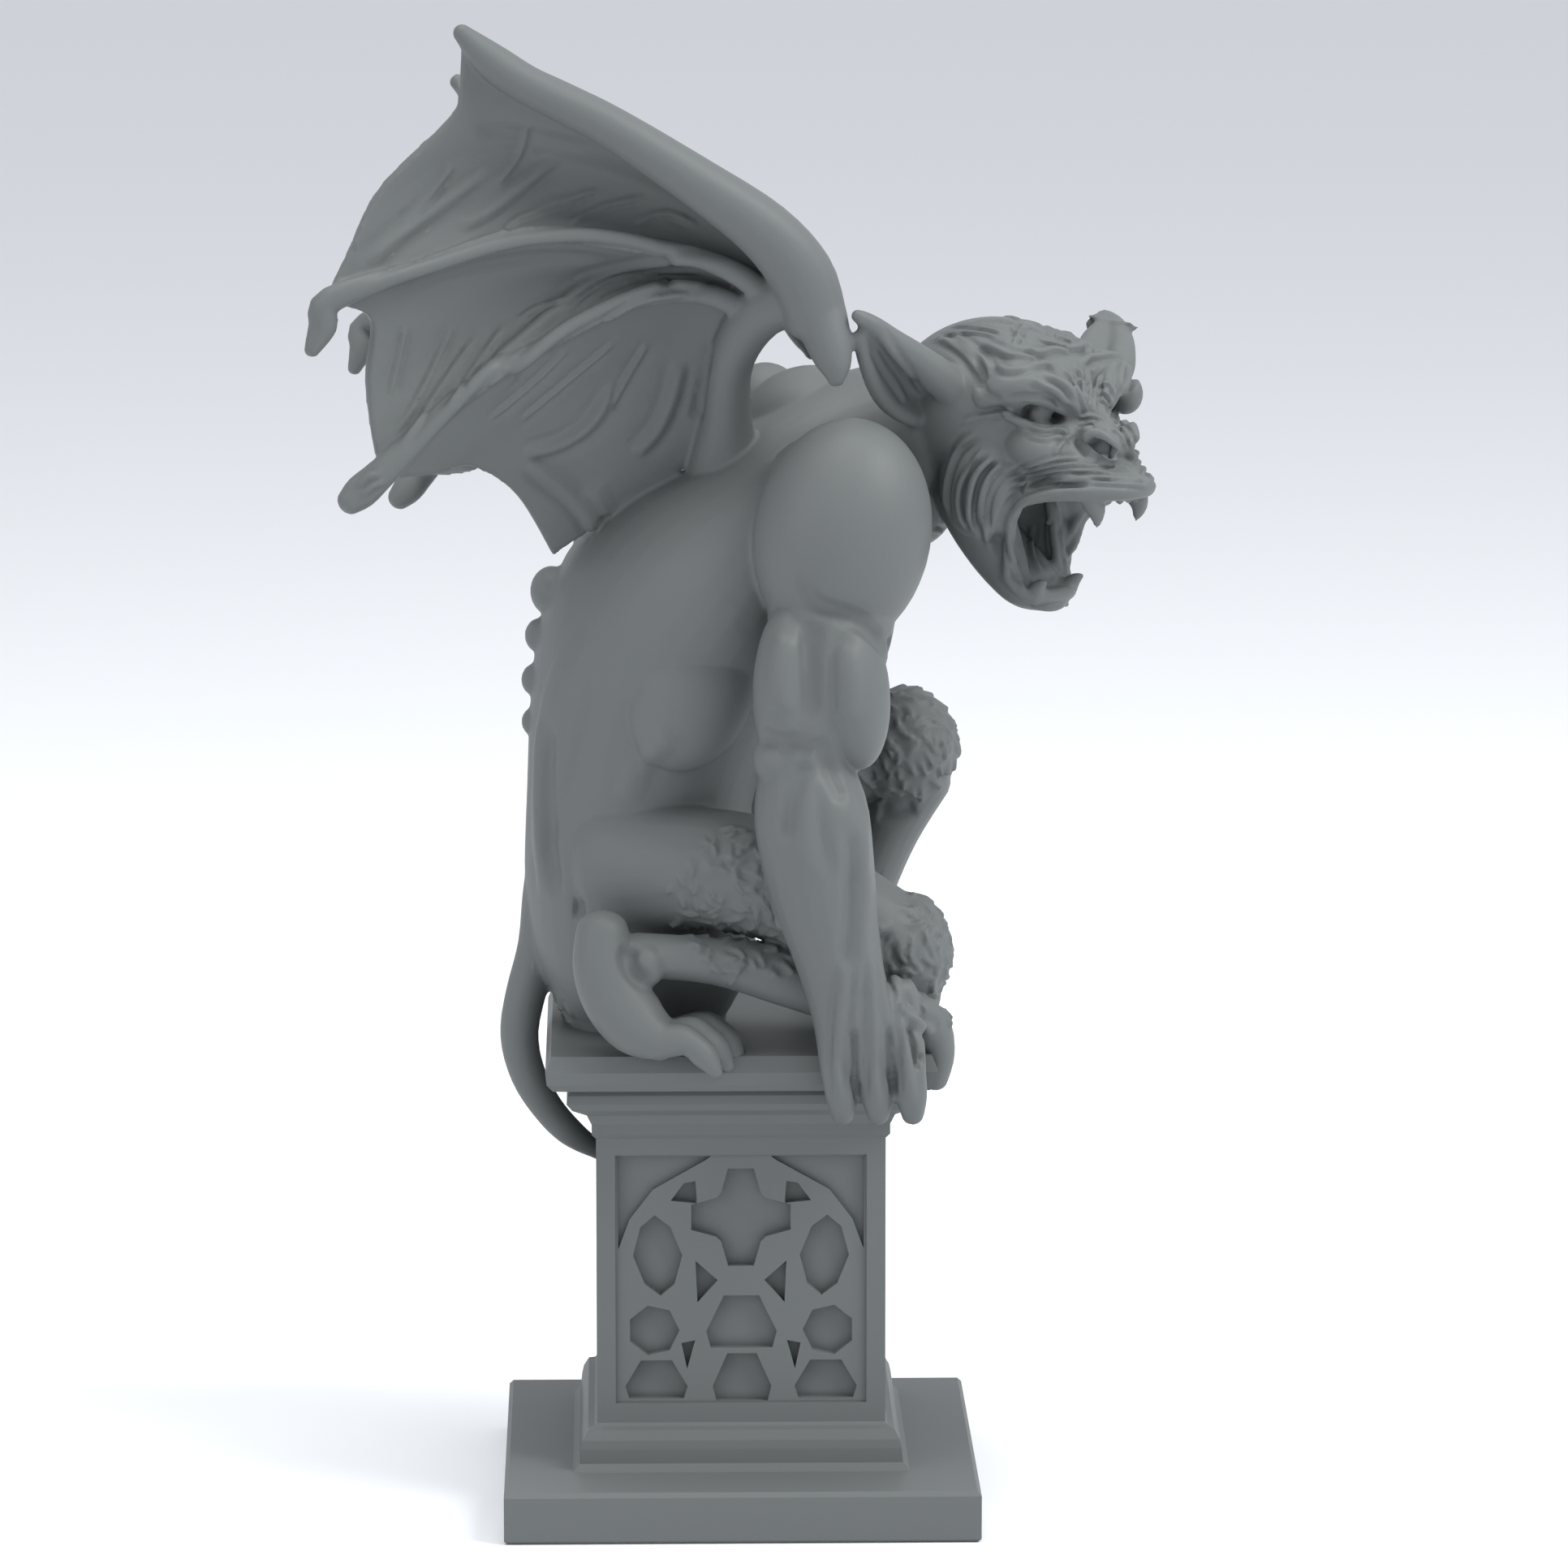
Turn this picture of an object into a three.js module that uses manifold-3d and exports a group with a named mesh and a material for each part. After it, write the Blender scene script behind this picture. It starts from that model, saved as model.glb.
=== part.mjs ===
// A crouching winged gargoyle on a square gothic pedestal, a small stone-filled casting.
// Millimetres, +Z up. The gargoyle looks along +X and its left side is +Y. The origin is on
// the underside of the slab, below the middle of the shaft, and the slab reaches a little
// further to the right than to the left. The figure is one solid and the pedestal another.

import * as THREE from 'three';
import { mergeVertices } from 'three/addons/utils/BufferGeometryUtils.js';
import Module from 'manifold-3d';

// Driving dimensions of the pedestal

const SLAB_HALF = 50;
const SLAB_TOP = 11;
const SLAB_SHIFT = -3;
const SHAFT_HALF = 30.5;
const SHAFT_BOTTOM = 20.6;
const SHAFT_TOP = 82;
const CAP_HALF = 41;
const CAP_TOP = 101.5;

// Driving dimensions of the tracery panel, the same on all four faces of the shaft

const PANEL_HALF = 26.5;
const PANEL_BOTTOM = 24.8;
const PANEL_TOP = 78.4;
const PANEL_RECESS = 0.8;
const SPANDREL_DEPTH = 2.2;
const OPENING_DEPTH = 3.2;
const ARCH_SPRING = 54;

// Driving dimensions of the gargoyle

const JOINT_GAP = 0.3;
const SHOULDER_SIDE = 36;
const ARM_SIDE = 43;
const HEAD_CENTRE = [57, -13, 233];
const HEAD_TURN = 41;
const MEMBRANE_THICKNESS = 3.6;
const FINGER_THICKNESS = 7.2;
const LEFT_WING_LEAN = 9;
const LEFT_WING_SWEEP = 5.5;
const LEFT_WING_SCALE = 0.92;

const wasm = await Module();
wasm.setup();

const degrees = (angle) => angle * Math.PI / 180;
const mix = (a, b, t) => a + (b - a) * t;

// Joining and cutting

function solidOf(geometry) {
  const bare = geometry.clone();
  bare.deleteAttribute('normal');
  bare.deleteAttribute('uv');
  const merged = mergeVertices(bare, 1e-4);
  return new wasm.Manifold(new wasm.Mesh({
    numProp: 3,
    vertProperties: new Float32Array(merged.attributes.position.array),
    triVerts: new Uint32Array(merged.index.array),
  }));
}

function joined(pieces) {
  let whole = null;
  for (const piece of pieces.flat(Infinity)) {
    const solid = piece.isBufferGeometry ? solidOf(piece) : piece;
    whole = whole ? whole.add(solid) : solid;
  }
  return whole;
}

function geometryOf(solid) {
  const mesh = solid.getMesh();
  const geometry = new THREE.BufferGeometry();
  const points = [];
  for (let i = 0; i < mesh.vertProperties.length; i += mesh.numProp) {
    points.push(mesh.vertProperties[i], mesh.vertProperties[i + 1], mesh.vertProperties[i + 2]);
  }
  geometry.setAttribute('position', new THREE.Float32BufferAttribute(points, 3));
  geometry.setIndex(Array.from(mesh.triVerts));
  return geometry;
}

// A closed skin over rings of points. Each end is closed by a fan to one last point.
function skin(rings, first, last) {
  const count = rings[0].length;
  const points = [first, ...rings.flat(), last].flatMap((p) => [p.x, p.y, p.z]);
  const triangles = [];
  const at = (ring, i) => 1 + ring * count + i % count;
  const end = 1 + rings.length * count;
  for (let i = 0; i < count; i++) {
    triangles.push(0, at(0, i + 1), at(0, i));
    triangles.push(end, at(rings.length - 1, i), at(rings.length - 1, i + 1));
    for (let r = 0; r + 1 < rings.length; r++) {
      triangles.push(at(r, i), at(r, i + 1), at(r + 1, i + 1));
      triangles.push(at(r, i), at(r + 1, i + 1), at(r + 1, i));
    }
  }
  const geometry = new THREE.BufferGeometry();
  geometry.setAttribute('position', new THREE.Float32BufferAttribute(points, 3));
  geometry.setIndex(triangles);
  return geometry;
}

// A limb through stations of x, y, z, half depth and half width. The width lies along "across".
// Its ends are blunt cones, which lie inside another part or end in a small tip.
function limb(stations, { sides = 8, across = [0, 1, 0] } = {}) {
  const centre = (i) => new THREE.Vector3(...stations[i].slice(0, 3));
  const last = stations.length - 1;
  const along = (i) => centre(Math.min(i + 1, last)).sub(centre(Math.max(i - 1, 0))).normalize();
  const ring = (i) => {
    const tangent = along(i);
    const width = new THREE.Vector3(...across);
    width.addScaledVector(tangent, -width.dot(tangent)).normalize();
    const depth = new THREE.Vector3().crossVectors(tangent, width);
    const [halfDepth, halfWidth] = stations[i].slice(3);
    return Array.from({ length: sides }, (_, k) => {
      const angle = 2 * Math.PI * k / sides;
      return centre(i).addScaledVector(width, Math.cos(angle) * halfWidth)
        .addScaledVector(depth, Math.sin(angle) * halfDepth);
    });
  };
  const capLength = (i) => 0.55 * Math.min(stations[i][3], stations[i][4]);
  const rings = stations.map((_, i) => ring(i));
  const first = centre(0).addScaledVector(along(0), -capLength(0));
  const end = centre(last).addScaledVector(along(last), capLength(last));
  return skin(rings, first, end);
}

// A muscle, knuckle or other rounded mass, turned about Y (nod), then Z (turn)
function mass(x, y, z, halfX, halfY, halfZ, { nod = 0, turn = 0, fine = 8 } = {}) {
  const ball = new THREE.SphereGeometry(1, fine, Math.round(fine * 0.7));
  ball.rotateX(Math.PI / 2);
  ball.scale(halfX, halfY, halfZ);
  ball.rotateY(degrees(nod));
  ball.rotateZ(degrees(turn));
  ball.translate(x, y, z);
  return ball;
}

const mirrored = (solid) => solid.mirror([0, 1, 0]);

// Pedestal

// Half width and height of each corner of a square profile, from the floor up
const slabProfile = [
  [SLAB_HALF - 0.8, 0], [SLAB_HALF, 0.8], [SLAB_HALF, SLAB_TOP - 1], [SLAB_HALF - 0.9, SLAB_TOP],
];
const pedestalProfile = [
  [35, SLAB_TOP - 1], [35.6, SLAB_TOP], [34.2, 12.6], [33.9, 15.6], [33.5, 17.4], [32.4, 19.4],
  [31, 19.9], [SHAFT_HALF, SHAFT_BOTTOM], [SHAFT_HALF, SHAFT_TOP],
  [31.4, 83], [31.4, 85.2], [32.4, 87.4], [35.4, 89], [36.6, 90.6], [36.4, 92.4], [35.9, 93.2],
  [39.4, 94], [CAP_HALF - 0.3, 95.6], [CAP_HALF, 98.2], [39.8, CAP_TOP],
];

function squareRing(half, height, grow = 0) {
  const side = half + grow;
  const corners = [[side, side], [-side, side], [-side, -side], [side, -side]];
  return corners.map(([x, y]) => new THREE.Vector3(x, y, height));
}

function squareStack(profile, grow = 0) {
  const rings = profile.map(([half, height]) => squareRing(half, height, grow));
  const bottom = new THREE.Vector3(0, 0, profile[0][1]);
  const top = new THREE.Vector3(0, 0, profile[profile.length - 1][1]);
  return skin(rings, bottom, top);
}

// Outlines of the tracery, across and up on one face

function roundOutline(across, up, radius) {
  const segments = 7;
  return Array.from({ length: segments }, (_, i) => {
    const angle = 2 * Math.PI * i / segments;
    return [across + radius * Math.cos(angle), up + radius * Math.sin(angle)];
  });
}

function almondOutline(across, up, width, height, lean) {
  const segments = 8;
  return Array.from({ length: segments }, (_, i) => {
    const angle = 2 * Math.PI * i / segments + Math.PI / 2;
    const pinch = 1 - 0.28 * Math.sin(angle) ** 2;
    const x = Math.cos(angle) * width / 2 * pinch;
    const z = Math.sin(angle) * height / 2;
    return [across + x + z * Math.tan(degrees(lean)), up + z];
  });
}

// A round-headed opening with a flat sill
function domeOutline(across, sill, width, height) {
  const segments = 3;
  const outline = [[across - width * 0.44, sill], [across + width * 0.44, sill]];
  for (let i = 0; i <= segments; i++) {
    const angle = Math.PI * i / segments;
    const lift = 0.3 + 0.74 * Math.sin(angle);
    outline.push([across + width / 2 * Math.cos(angle), sill + height * lift]);
  }
  return outline;
}

const QUATREFOIL = { up: 64.8, lobeOffset: 6.9, lobeRadius: 4.5 };

function quatrefoilOutline() {
  const outline = [];
  const { up, lobeOffset, lobeRadius } = QUATREFOIL;
  for (let lobe = 0; lobe < 4; lobe++) {
    for (let i = 0; i <= 3; i++) {
      const facing = Math.PI / 2 * lobe;
      const angle = facing + mix(-1.95, 1.95, i / 3);
      outline.push([
        Math.cos(facing) * lobeOffset + Math.cos(angle) * lobeRadius,
        up + Math.sin(facing) * lobeOffset + Math.sin(angle) * lobeRadius,
      ]);
    }
  }
  return outline;
}

// Half width of the pointed arch at each height above its spring line
function archHalf(up, inset) {
  const rise = PANEL_TOP - ARCH_SPRING - inset;
  const t = Math.min(Math.max((up - ARCH_SPRING) / rise, 0), 1);
  return (PANEL_HALF - inset) * Math.sqrt(1 - t ** 1.9);
}

// The sunk corner between the arch and the frame, on the left of the face
function spandrelOutline() {
  const edge = 0.4;
  const outline = [[-PANEL_HALF + edge, PANEL_TOP - edge]];
  const steps = 3;
  for (let i = 0; i <= steps; i++) {
    const up = mix(ARCH_SPRING + 4, PANEL_TOP - 1.2, i / steps);
    outline.push([-archHalf(up, 0.2), up]);
  }
  outline.push([-archHalf(PANEL_TOP - 1.2, 0.2) + 1, PANEL_TOP - edge]);
  return outline;
}

const flipped = (outline) => outline.map(([across, up]) => [-across, up]).reverse();

function openings() {
  const leftHalf = [
    almondOutline(-17.6, 56.6, 10.4, 17.4, -4),
    roundOutline(-18.5, 40.4, 5.5),
    domeOutline(-17.9, 25.6, 13.2, 8.8),
    [[-14.8, 68.4], [-9.2, 67.8], [-9.6, 72.6], [-12, 72.2]],
    [[-9.6, 55.4], [-9.2, 46.4], [-4.9, 51.2]],
    [[-12.6, 37.6], [-11.4, 32], [-9.7, 38.2]],
  ];
  const middle = [quatrefoilOutline(), domeOutline(0.1, 36.6, 14.9, 12), domeOutline(0.2, 25, 12.4, 11)];
  return [...middle, ...leftHalf, ...leftHalf.map(flipped)];
}

// A cutter that reaches from outside the shaft's front face to a depth behind it
function faceCutter(outline, depth) {
  const shape = new THREE.Shape(outline.map(([across, up]) => new THREE.Vector2(across, up)));
  const reach = 3;
  const cutter = new THREE.ExtrudeGeometry(shape, { depth: depth + reach, bevelEnabled: false });
  cutter.rotateX(Math.PI / 2);
  cutter.translate(0, -SHAFT_HALF + depth, 0);
  return cutter;
}

function pedestal() {
  const frame = [[-PANEL_HALF, PANEL_BOTTOM], [PANEL_HALF, PANEL_BOTTOM],
    [PANEL_HALF, PANEL_TOP], [-PANEL_HALF, PANEL_TOP]];
  const oneFace = joined([
    faceCutter(frame, PANEL_RECESS),
    faceCutter(spandrelOutline(), SPANDREL_DEPTH),
    faceCutter(flipped(spandrelOutline()), SPANDREL_DEPTH),
    openings().map((outline) => faceCutter(outline, OPENING_DEPTH)),
  ]);
  let whole = solidOf(squareStack(pedestalProfile));
  whole = whole.add(solidOf(squareStack(slabProfile).translate(0, SLAB_SHIFT, 0)));
  for (let turn = 0; turn < 4; turn++) {
    whole = whole.subtract(oneFace.rotate([0, 0, 90 * turn]));
  }
  return whole;
}

// Gargoyle. The right side is modelled and mirrored where both sides are alike.

function torso() {
  const rows = [
    [-20, 0, 104, 19, 20], [-20, 0, 116, 25, 27], [-21, 0, 132, 25.5, 29], [-21.5, 0, 150, 25, 27],
    [-18.5, 0, 168, 27.5, 29], [-13.5, 0, 184, 30, 35], [-4, 0, 198, 28, 39], [7, 0, 211, 20, 37],
    [18, 0, 221, 17, 29], [31, -3, 227, 16, 19], [43, -8, 230, 14, 16],
  ];
  const hump = mass(15, 0, 230, 14, 13, 11.5, { nod: -8, fine: 6 });
  const throat = mass(36, -4, 216, 11, 14, 13, { fine: 6 });
  const backMuscle = (side) => limb([
    [-33, 9.5 * side, 134, 10.5, 8.5], [-31.5, 12 * side, 166, 12, 10.5],
    [-24, 16 * side, 190, 11, 12],
  ], { sides: 5 });
  const chest = (side) => mass(19, 15 * side, 200, 13, 17, 12, { nod: 30, fine: 6 });
  return [limb(rows, { sides: 11 }), hump, throat, backMuscle(-1), backMuscle(1), chest(-1), chest(1)];
}

// Small rounded bumps along the spine, larger at the top of the back
function spineBumps() {
  const rows = [[-39.6, 194, 4.6], [-42.4, 184, 3.4], [-43.4, 174, 3.2]];
  return rows.map(([x, z, size]) => mass(x, 0, z, size, size * 1.2, size * 1.1, { fine: 5 }));
}

function arm() {
  const side = -ARM_SIDE;
  const whole = limb([
    [20, -SHOULDER_SIDE + 4, 222, 15, 13], [19, side + 4, 198, 14.5, 12], [16.5, side, 179, 12.5, 11],
    [13.6, side - 0.5, 166, 10.4, 10], [14.5, side - 2, 153, 12.8, 10.6],
    [17, side - 3, 137, 11.5, 9.4], [19.5, side - 3, 126, 9.8, 8.4], [22, side - 2.5, 116, 9, 7.6],
    [25, side - 2, 108, 10.4, 7.4], [27, side - 1.6, 99, 11.4, 6],
  ], { sides: 8 });
  const muscles = [
    mass(21, -SHOULDER_SIDE - 1, 211, 19, 17.5, 25, { nod: 10 }),
    mass(9.5, side - 1.5, 180, 7.5, 10, 18, { fine: 6 }),
    mass(22.8, side - 2, 181, 8, 10, 17, { nod: -6, fine: 6 }),
  ];
  return [whole, ...muscles];
}

// A hand that hangs three fingers over the near edge of the cap and one over the front edge
function hand() {
  const edge = -CAP_HALF;
  const fingers = [[19.5, 21], [27, 28.4], [34, 35.6]].map(([knuckleX, tipX]) => limb([
    [knuckleX, edge - 4, 106, 4, 4], [mix(knuckleX, tipX, 0.6), edge - 6.2, 97.6, 3.7, 3.8],
    [tipX, edge - 3.4, 89.6, 2, 2.4],
  ], { sides: 5 }));
  const thumb = limb([
    [30, edge, 109, 4.6, 4.4], [38, edge + 4.4, 108.4, 4.6, 4.4], [41.4, edge + 7, 100.6, 3.7, 3.7],
    [40.6, edge + 7.5, 94, 2.4, 2.6],
  ], { sides: 5 });
  return [...fingers, thumb];
}

// Toes that start at a foot and hook down over an edge. "ahead" is the way they point.
function toes(starts, ahead, length, drop) {
  return starts.map(([x, y, z]) => {
    const reach = (part, fall, size) => [
      x + ahead[0] * length * part, y + ahead[1] * length * part, z - drop * fall, size, size,
    ];
    const rows = [reach(0, 0, 3.6), reach(0.55, -0.12, 3.6), reach(1, 1, 1.2)];
    return limb(rows, { sides: 4 });
  });
}

function rightLeg() {
  const thigh = limb([
    [-26, -18, 137, 17, 12], [-10, -25, 139, 13.5, 13], [6, -28, 137, 13, 13],
    [20, -28, 130, 12, 12], [32, -26, 121.5, 12.4, 11.5],
  ], { sides: 8 });
  const shin = limb([
    [34, -27, 112, 8, 8], [24, -30, 113, 7.5, 7.5], [10, -33, 117.5, 6.5, 6.5],
    [-6, -35.5, 121, 4.8, 5.8], [-22, -37, 122.5, 4.8, 5.6],
  ], { sides: 6 });
  const foot = limb([
    [-29, -38.5, 128.5, 5.8, 6], [-28.5, -39, 121, 7, 6.8], [-26, -40, 114, 7.4, 7],
    [-21.5, -41, 108.5, 7, 7.5], [-15.5, -41, 105, 5, 7.5],
  ], { sides: 7 });
  const knee = mass(34, -26, 121, 10.6, 11.2, 13, { fine: 6 });
  const claws = toes([[-17.5, -43.5, 105], [-15, -39.5, 105.4], [-12.5, -35, 105.4], [-12, -31, 105]],
    [0.93, -0.2], 12.5, 6.5);
  return [thigh, shin, foot, knee, ...claws];
}

function leftLeg() {
  const thigh = limb([
    [-22, 18, 140, 18, 12], [-4, 24, 146, 15, 13], [14, 27, 152, 13, 13], [28, 27, 156.5, 12.4, 12.4],
  ], { sides: 8 });
  const knee = mass(36, 26, 156, 12.4, 12.8, 13.6, { fine: 6 });
  const shin = limb([
    [38.6, 26, 150, 8.6, 9.4], [33, 27, 138, 7.2, 8], [28, 27, 126, 7, 7.5],
    [25, 27, 114, 6.4, 7], [24, 27, 106.5, 7, 8],
  ], { sides: 6 });
  const foot = limb([[16, 27, 105.5, 4.6, 7], [24, 27, 106, 5.4, 8.6], [31, 27, 105.6, 4.4, 9]],
    { sides: 6 });
  const claws = toes([19.5, 24.5, 29.5, 34.5].map((y) => [28.5, y, 105.6]), [1, 0], 11.5, 3);
  return [thigh, knee, shin, foot, ...claws];
}

function tail() {
  return limb([
    [-38, 0, 138, 6, 8.4], [-42, -2, 120, 4.8, 5.8], [-45.6, -3, 107, 4.4, 5], [-46.8, -3, 98.5, 4.2, 4.6], [-45, -2, 90, 3.9, 4.2],
    [-41, 0, 82.4, 3.5, 3.8], [-36, 2, 76.4, 3.1, 3.4], [-29.6, 7, 71, 1.8, 2.2],
  ], { sides: 6 });
}

// Locks of fur: short pointed tufts set in rows over an oval patch of the hide
function furPatch(centre, halfAlong, halfUp, outward, lay, rows, perRow) {
  const locks = [];
  for (let row = 0; row < rows; row++) {
    for (let i = 0; i < perRow; i++) {
      const u = (i + (row % 2) / 2) / perRow * 2 - 1;
      const v = row / (rows - 1) * 2 - 1;
      const sway = Math.sin(7 * i + 3 * row) * 1.5;
      const root = centre.map((c, axis) => c + [halfAlong * u, 0, halfUp * v][axis]
        - outward[axis] * (u * u + v * v) * 3);
      const out = (distance) => root.map((c, axis) => c + outward[axis] * distance);
      const shift = (from, length) => from.map((c, axis) => c + lay[axis] * length
        + (axis === 0 ? sway * length / 9 : 0));
      locks.push(limb([[...out(-1), 2, 3], [...shift(out(1), 9), 0.3, 0.4]],
        { sides: 3, across: [1, 0.3, 0] }));
    }
  }
  return locks;
}

function fur() {
  const thigh = furPatch([-4, -40, 140], 14, 9, [0.1, -1, 0], [0.25, 0, -0.95], 2, 5);
  const rightKnee = furPatch([37, -34, 128], 6, 6, [0.45, -0.85, 0.2], [0.3, 0, -0.9], 2, 2);
  const leftKnee = furPatch([37, 14.5, 160], 7, 6, [0.4, -0.9, 0.1], [0.4, 0, -0.85], 2, 2);
  return [thigh, rightKnee, leftKnee];
}

// Head, in its own frame: +X out of the face, +Y to its left, and turned and placed at the end

function jawBones() {
  const skull = mass(-3, 0, 1.5, 23, 20.5, 19, { fine: 9 });
  const muzzle = limb([
    [6, 0, -3, 13, 16.5], [17, 0, -5.5, 10.5, 14.5], [25.5, 0, -9, 7.5, 11], [31.5, 0, -11.5, 4.4, 7.6],
  ], { sides: 8 });
  const lowerJaw = limb([
    [-4, 0, -13, 13, 17], [0, 0, -22, 11, 15.5], [5, 0, -30, 8, 12.5], [9.6, 0, -36, 5.4, 10],
    [13.4, 0, -38, 3.4, 6.6],
  ], { sides: 7 });
  const cheeks = [-1, 1].map((side) => mass(10, 13 * side, -6, 11, 7.5, 9.5, { fine: 6 }));
  return joined([skull, muzzle, lowerJaw, cheeks]);
}

// The open mouth: a wedge between the jaws, and a round throat behind it
function mouthCutters() {
  const wedge = new THREE.Shape([
    [9, -17.5], [13, -15], [24, -15.4], [44, -17], [44, -34], [20, -34.8], [13, -31.5], [9.4, -26],
  ].map(([ahead, up]) => new THREE.Vector2(ahead, up)));
  const opening = new THREE.ExtrudeGeometry(wedge, { depth: 60, bevelEnabled: false });
  opening.rotateX(Math.PI / 2);
  opening.translate(0, 30, 0);
  return [opening, mass(8.5, 0, -23.5, 10, 10, 8.4, { nod: 40, fine: 6 })];
}

function faceDetails() {
  const parts = [
    mass(25, 0, -2.6, 8, 5.4, 5, { nod: 30, fine: 6 }),
    limb([[3, 0, -27, 4, 6], [9, 0, -30, 2.8, 6], [14.5, 0, -34, 1.6, 4.4]], { sides: 6 }),
  ];
  for (const side of [-1, 1]) {
    parts.push(
      limb([[11, 19 * side, 3, 3, 3], [17.4, 16 * side, 5.4, 4, 4], [20.6, 9 * side, 6, 3.6, 3.6],
        [22, 3 * side, 3.6, 3, 3]], { sides: 5 }),
      mass(26.5, 5.4 * side, -6.4, 4.2, 3.2, 3.6, { fine: 5 }),
      limb([[26.4, 6.6 * side, -13, 2.4, 2.4], [27, 6.8 * side, -17, 1.8, 1.8],
        [26.6, 6.6 * side, -20.4, 0.4, 0.4]], { sides: 4 }),
      limb([[12.6, 4.6 * side, -37, 2, 2], [14, 4.8 * side, -34, 1.5, 1.5],
        [15.4, 4.8 * side, -31.4, 0.4, 0.4]], { sides: 4 }),
    );
    const cheekFold = [[5, 17, -3, 1.8, 1.8], [0, 18.4, -11, 2.4, 2.4], [1, 16, -24, 1.6, 1.6]];
    parts.push(limb(cheekFold.map(([m, out, up, ...size]) => [m, out * side, up, ...size]), { sides: 4 }));
  }
  return parts;
}

function eyeSockets() {
  return [-1, 1].map((side) => mass(19.4, 10.4 * side, 1.4, 4.6, 4.6, 3.2, { fine: 5 }));
}

// Centre line of each ear from the skull to the tip, with its half depth and half width.
// The left ear is turned further forward, and its tip is lower and blunter.
const rightEar = [
  [-3, -15, 6, 3, 8.6], [-5, -24, 9.5, 3, 10], [-7, -32.5, 15, 2.6, 7], [-8, -38.5, 20.5, 2, 3.6],
  [-8, -41.4, 24.4, 0.5, 0.6],
];
const leftEar = [
  [-3, 15, 5, 3, 8.6], [-3, 23, 5, 3, 8.6], [-1, 31, 7.5, 2.6, 8], [-1, 36.6, 11, 2.2, 7],
  [-3, 39.2, 17, 1, 2],
];

function ear(centreLine) {
  const leaf = (grow, ahead) => limb(centreLine.map(([m, side, up, halfDepth, halfWidth]) =>
    [m + ahead, side, up, halfDepth * grow, halfWidth * grow],
  ), { sides: 5, across: [0.1, -0.3 * Math.sign(centreLine[0][1]), 1] });
  return solidOf(leaf(1, 0)).subtract(solidOf(leaf(0.74, 2.4)));
}

function head() {
  const bones = joined([jawBones(), ear(rightEar), ear(leftEar)]);
  const opened = bones.subtract(joined(mouthCutters()));
  const whole = joined([opened, faceDetails().slice(0, 3)]).subtract(joined(eyeSockets()));
  return joined([whole, faceDetails().slice(3)]).rotate([0, 0, -HEAD_TURN]).translate(HEAD_CENTRE);
}

// Wing. Each rib runs from the wrist of the wing out to its trailing edge.

const wingRibs = {
  leading: [[15, -33, 259], [6, -37, 275], [-10, -39.5, 287.5], [-26, -40, 298], [-44, -40, 305],
    [-57, -40, 297.5]],
  firstBillow: [[11, -30, 261], [3, -29, 270], [-12, -29, 279], [-32, -31, 286], [-54, -36, 288],
    [-75, -42, 281]],
  secondFinger: [[7, -29, 259], [-3, -31, 266], [-20, -33, 271], [-44, -37, 273.5], [-66, -42, 267],
    [-83, -45, 262]],
  secondBillow: [[5, -27, 258], [-6, -26, 261.5], [-21, -28, 264], [-42, -32, 261], [-60, -37, 253],
    [-76.6, -43, 246]],
  thirdFinger: [[3, -27, 256], [-9, -28, 260.5], [-24, -31, 258.5], [-42, -36, 250], [-58, -40, 240],
    [-73.5, -44, 225.5]],
  thirdBillow: [[1.5, -25, 253], [-9, -23, 250], [-20, -23, 244.5], [-34, -25, 237.5], [-46, -28, 231],
    [-57, -31, 224.5]],
  innerBillow: [[-1, -23, 249], [-6, -19, 241], [-14, -18, 233.5], [-25, -18, 225.5], [-36, -19, 220],
    [-46.5, -22, 217]],
  root: [[-1.5, -21, 244], [-2, -16, 232], [-9, -14, 224], [-18, -13, 217], [-28, -12, 210.5],
    [-39, -11, 203]],
};

// The foot of a finger's steep lower side is a rib of its own
const FINGER_REACH = 3.4;
const below = (rib) => rib.map(([x, y, z]) => [x, y, z - FINGER_REACH]);

// A closed sheet over ribs of points. Each rib has its own thickness along Y.
function sheet(grid, thicknesses) {
  const across = grid.length;
  const down = grid[0].length;
  const points = [-1, 1].flatMap((face) => grid.flatMap((rib, i) => rib.flatMap(
    ([x, y, z]) => [x, y + face * thicknesses[i] / 2, z])));
  const at = (face, i, j) => face * across * down + i * down + j;
  const triangles = [];
  const quad = (a, b, c, d) => triangles.push(a, b, c, a, c, d);
  for (let i = 0; i + 1 < across; i++) {
    for (let j = 0; j + 1 < down; j++) {
      quad(at(0, i, j), at(0, i, j + 1), at(0, i + 1, j + 1), at(0, i + 1, j));
      quad(at(1, i, j), at(1, i + 1, j), at(1, i + 1, j + 1), at(1, i, j + 1));
    }
    quad(at(0, i, 0), at(0, i + 1, 0), at(1, i + 1, 0), at(1, i, 0));
    quad(at(0, i, down - 1), at(1, i, down - 1), at(1, i + 1, down - 1), at(0, i + 1, down - 1));
  }
  for (let j = 0; j + 1 < down; j++) {
    quad(at(0, 0, j), at(1, 0, j), at(1, 0, j + 1), at(0, 0, j + 1));
    quad(at(0, across - 1, j), at(0, across - 1, j + 1), at(1, across - 1, j + 1), at(1, across - 1, j));
  }
  const geometry = new THREE.BufferGeometry();
  geometry.setAttribute('position', new THREE.Float32BufferAttribute(points, 3));
  geometry.setIndex(triangles);
  return geometry;
}

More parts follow.
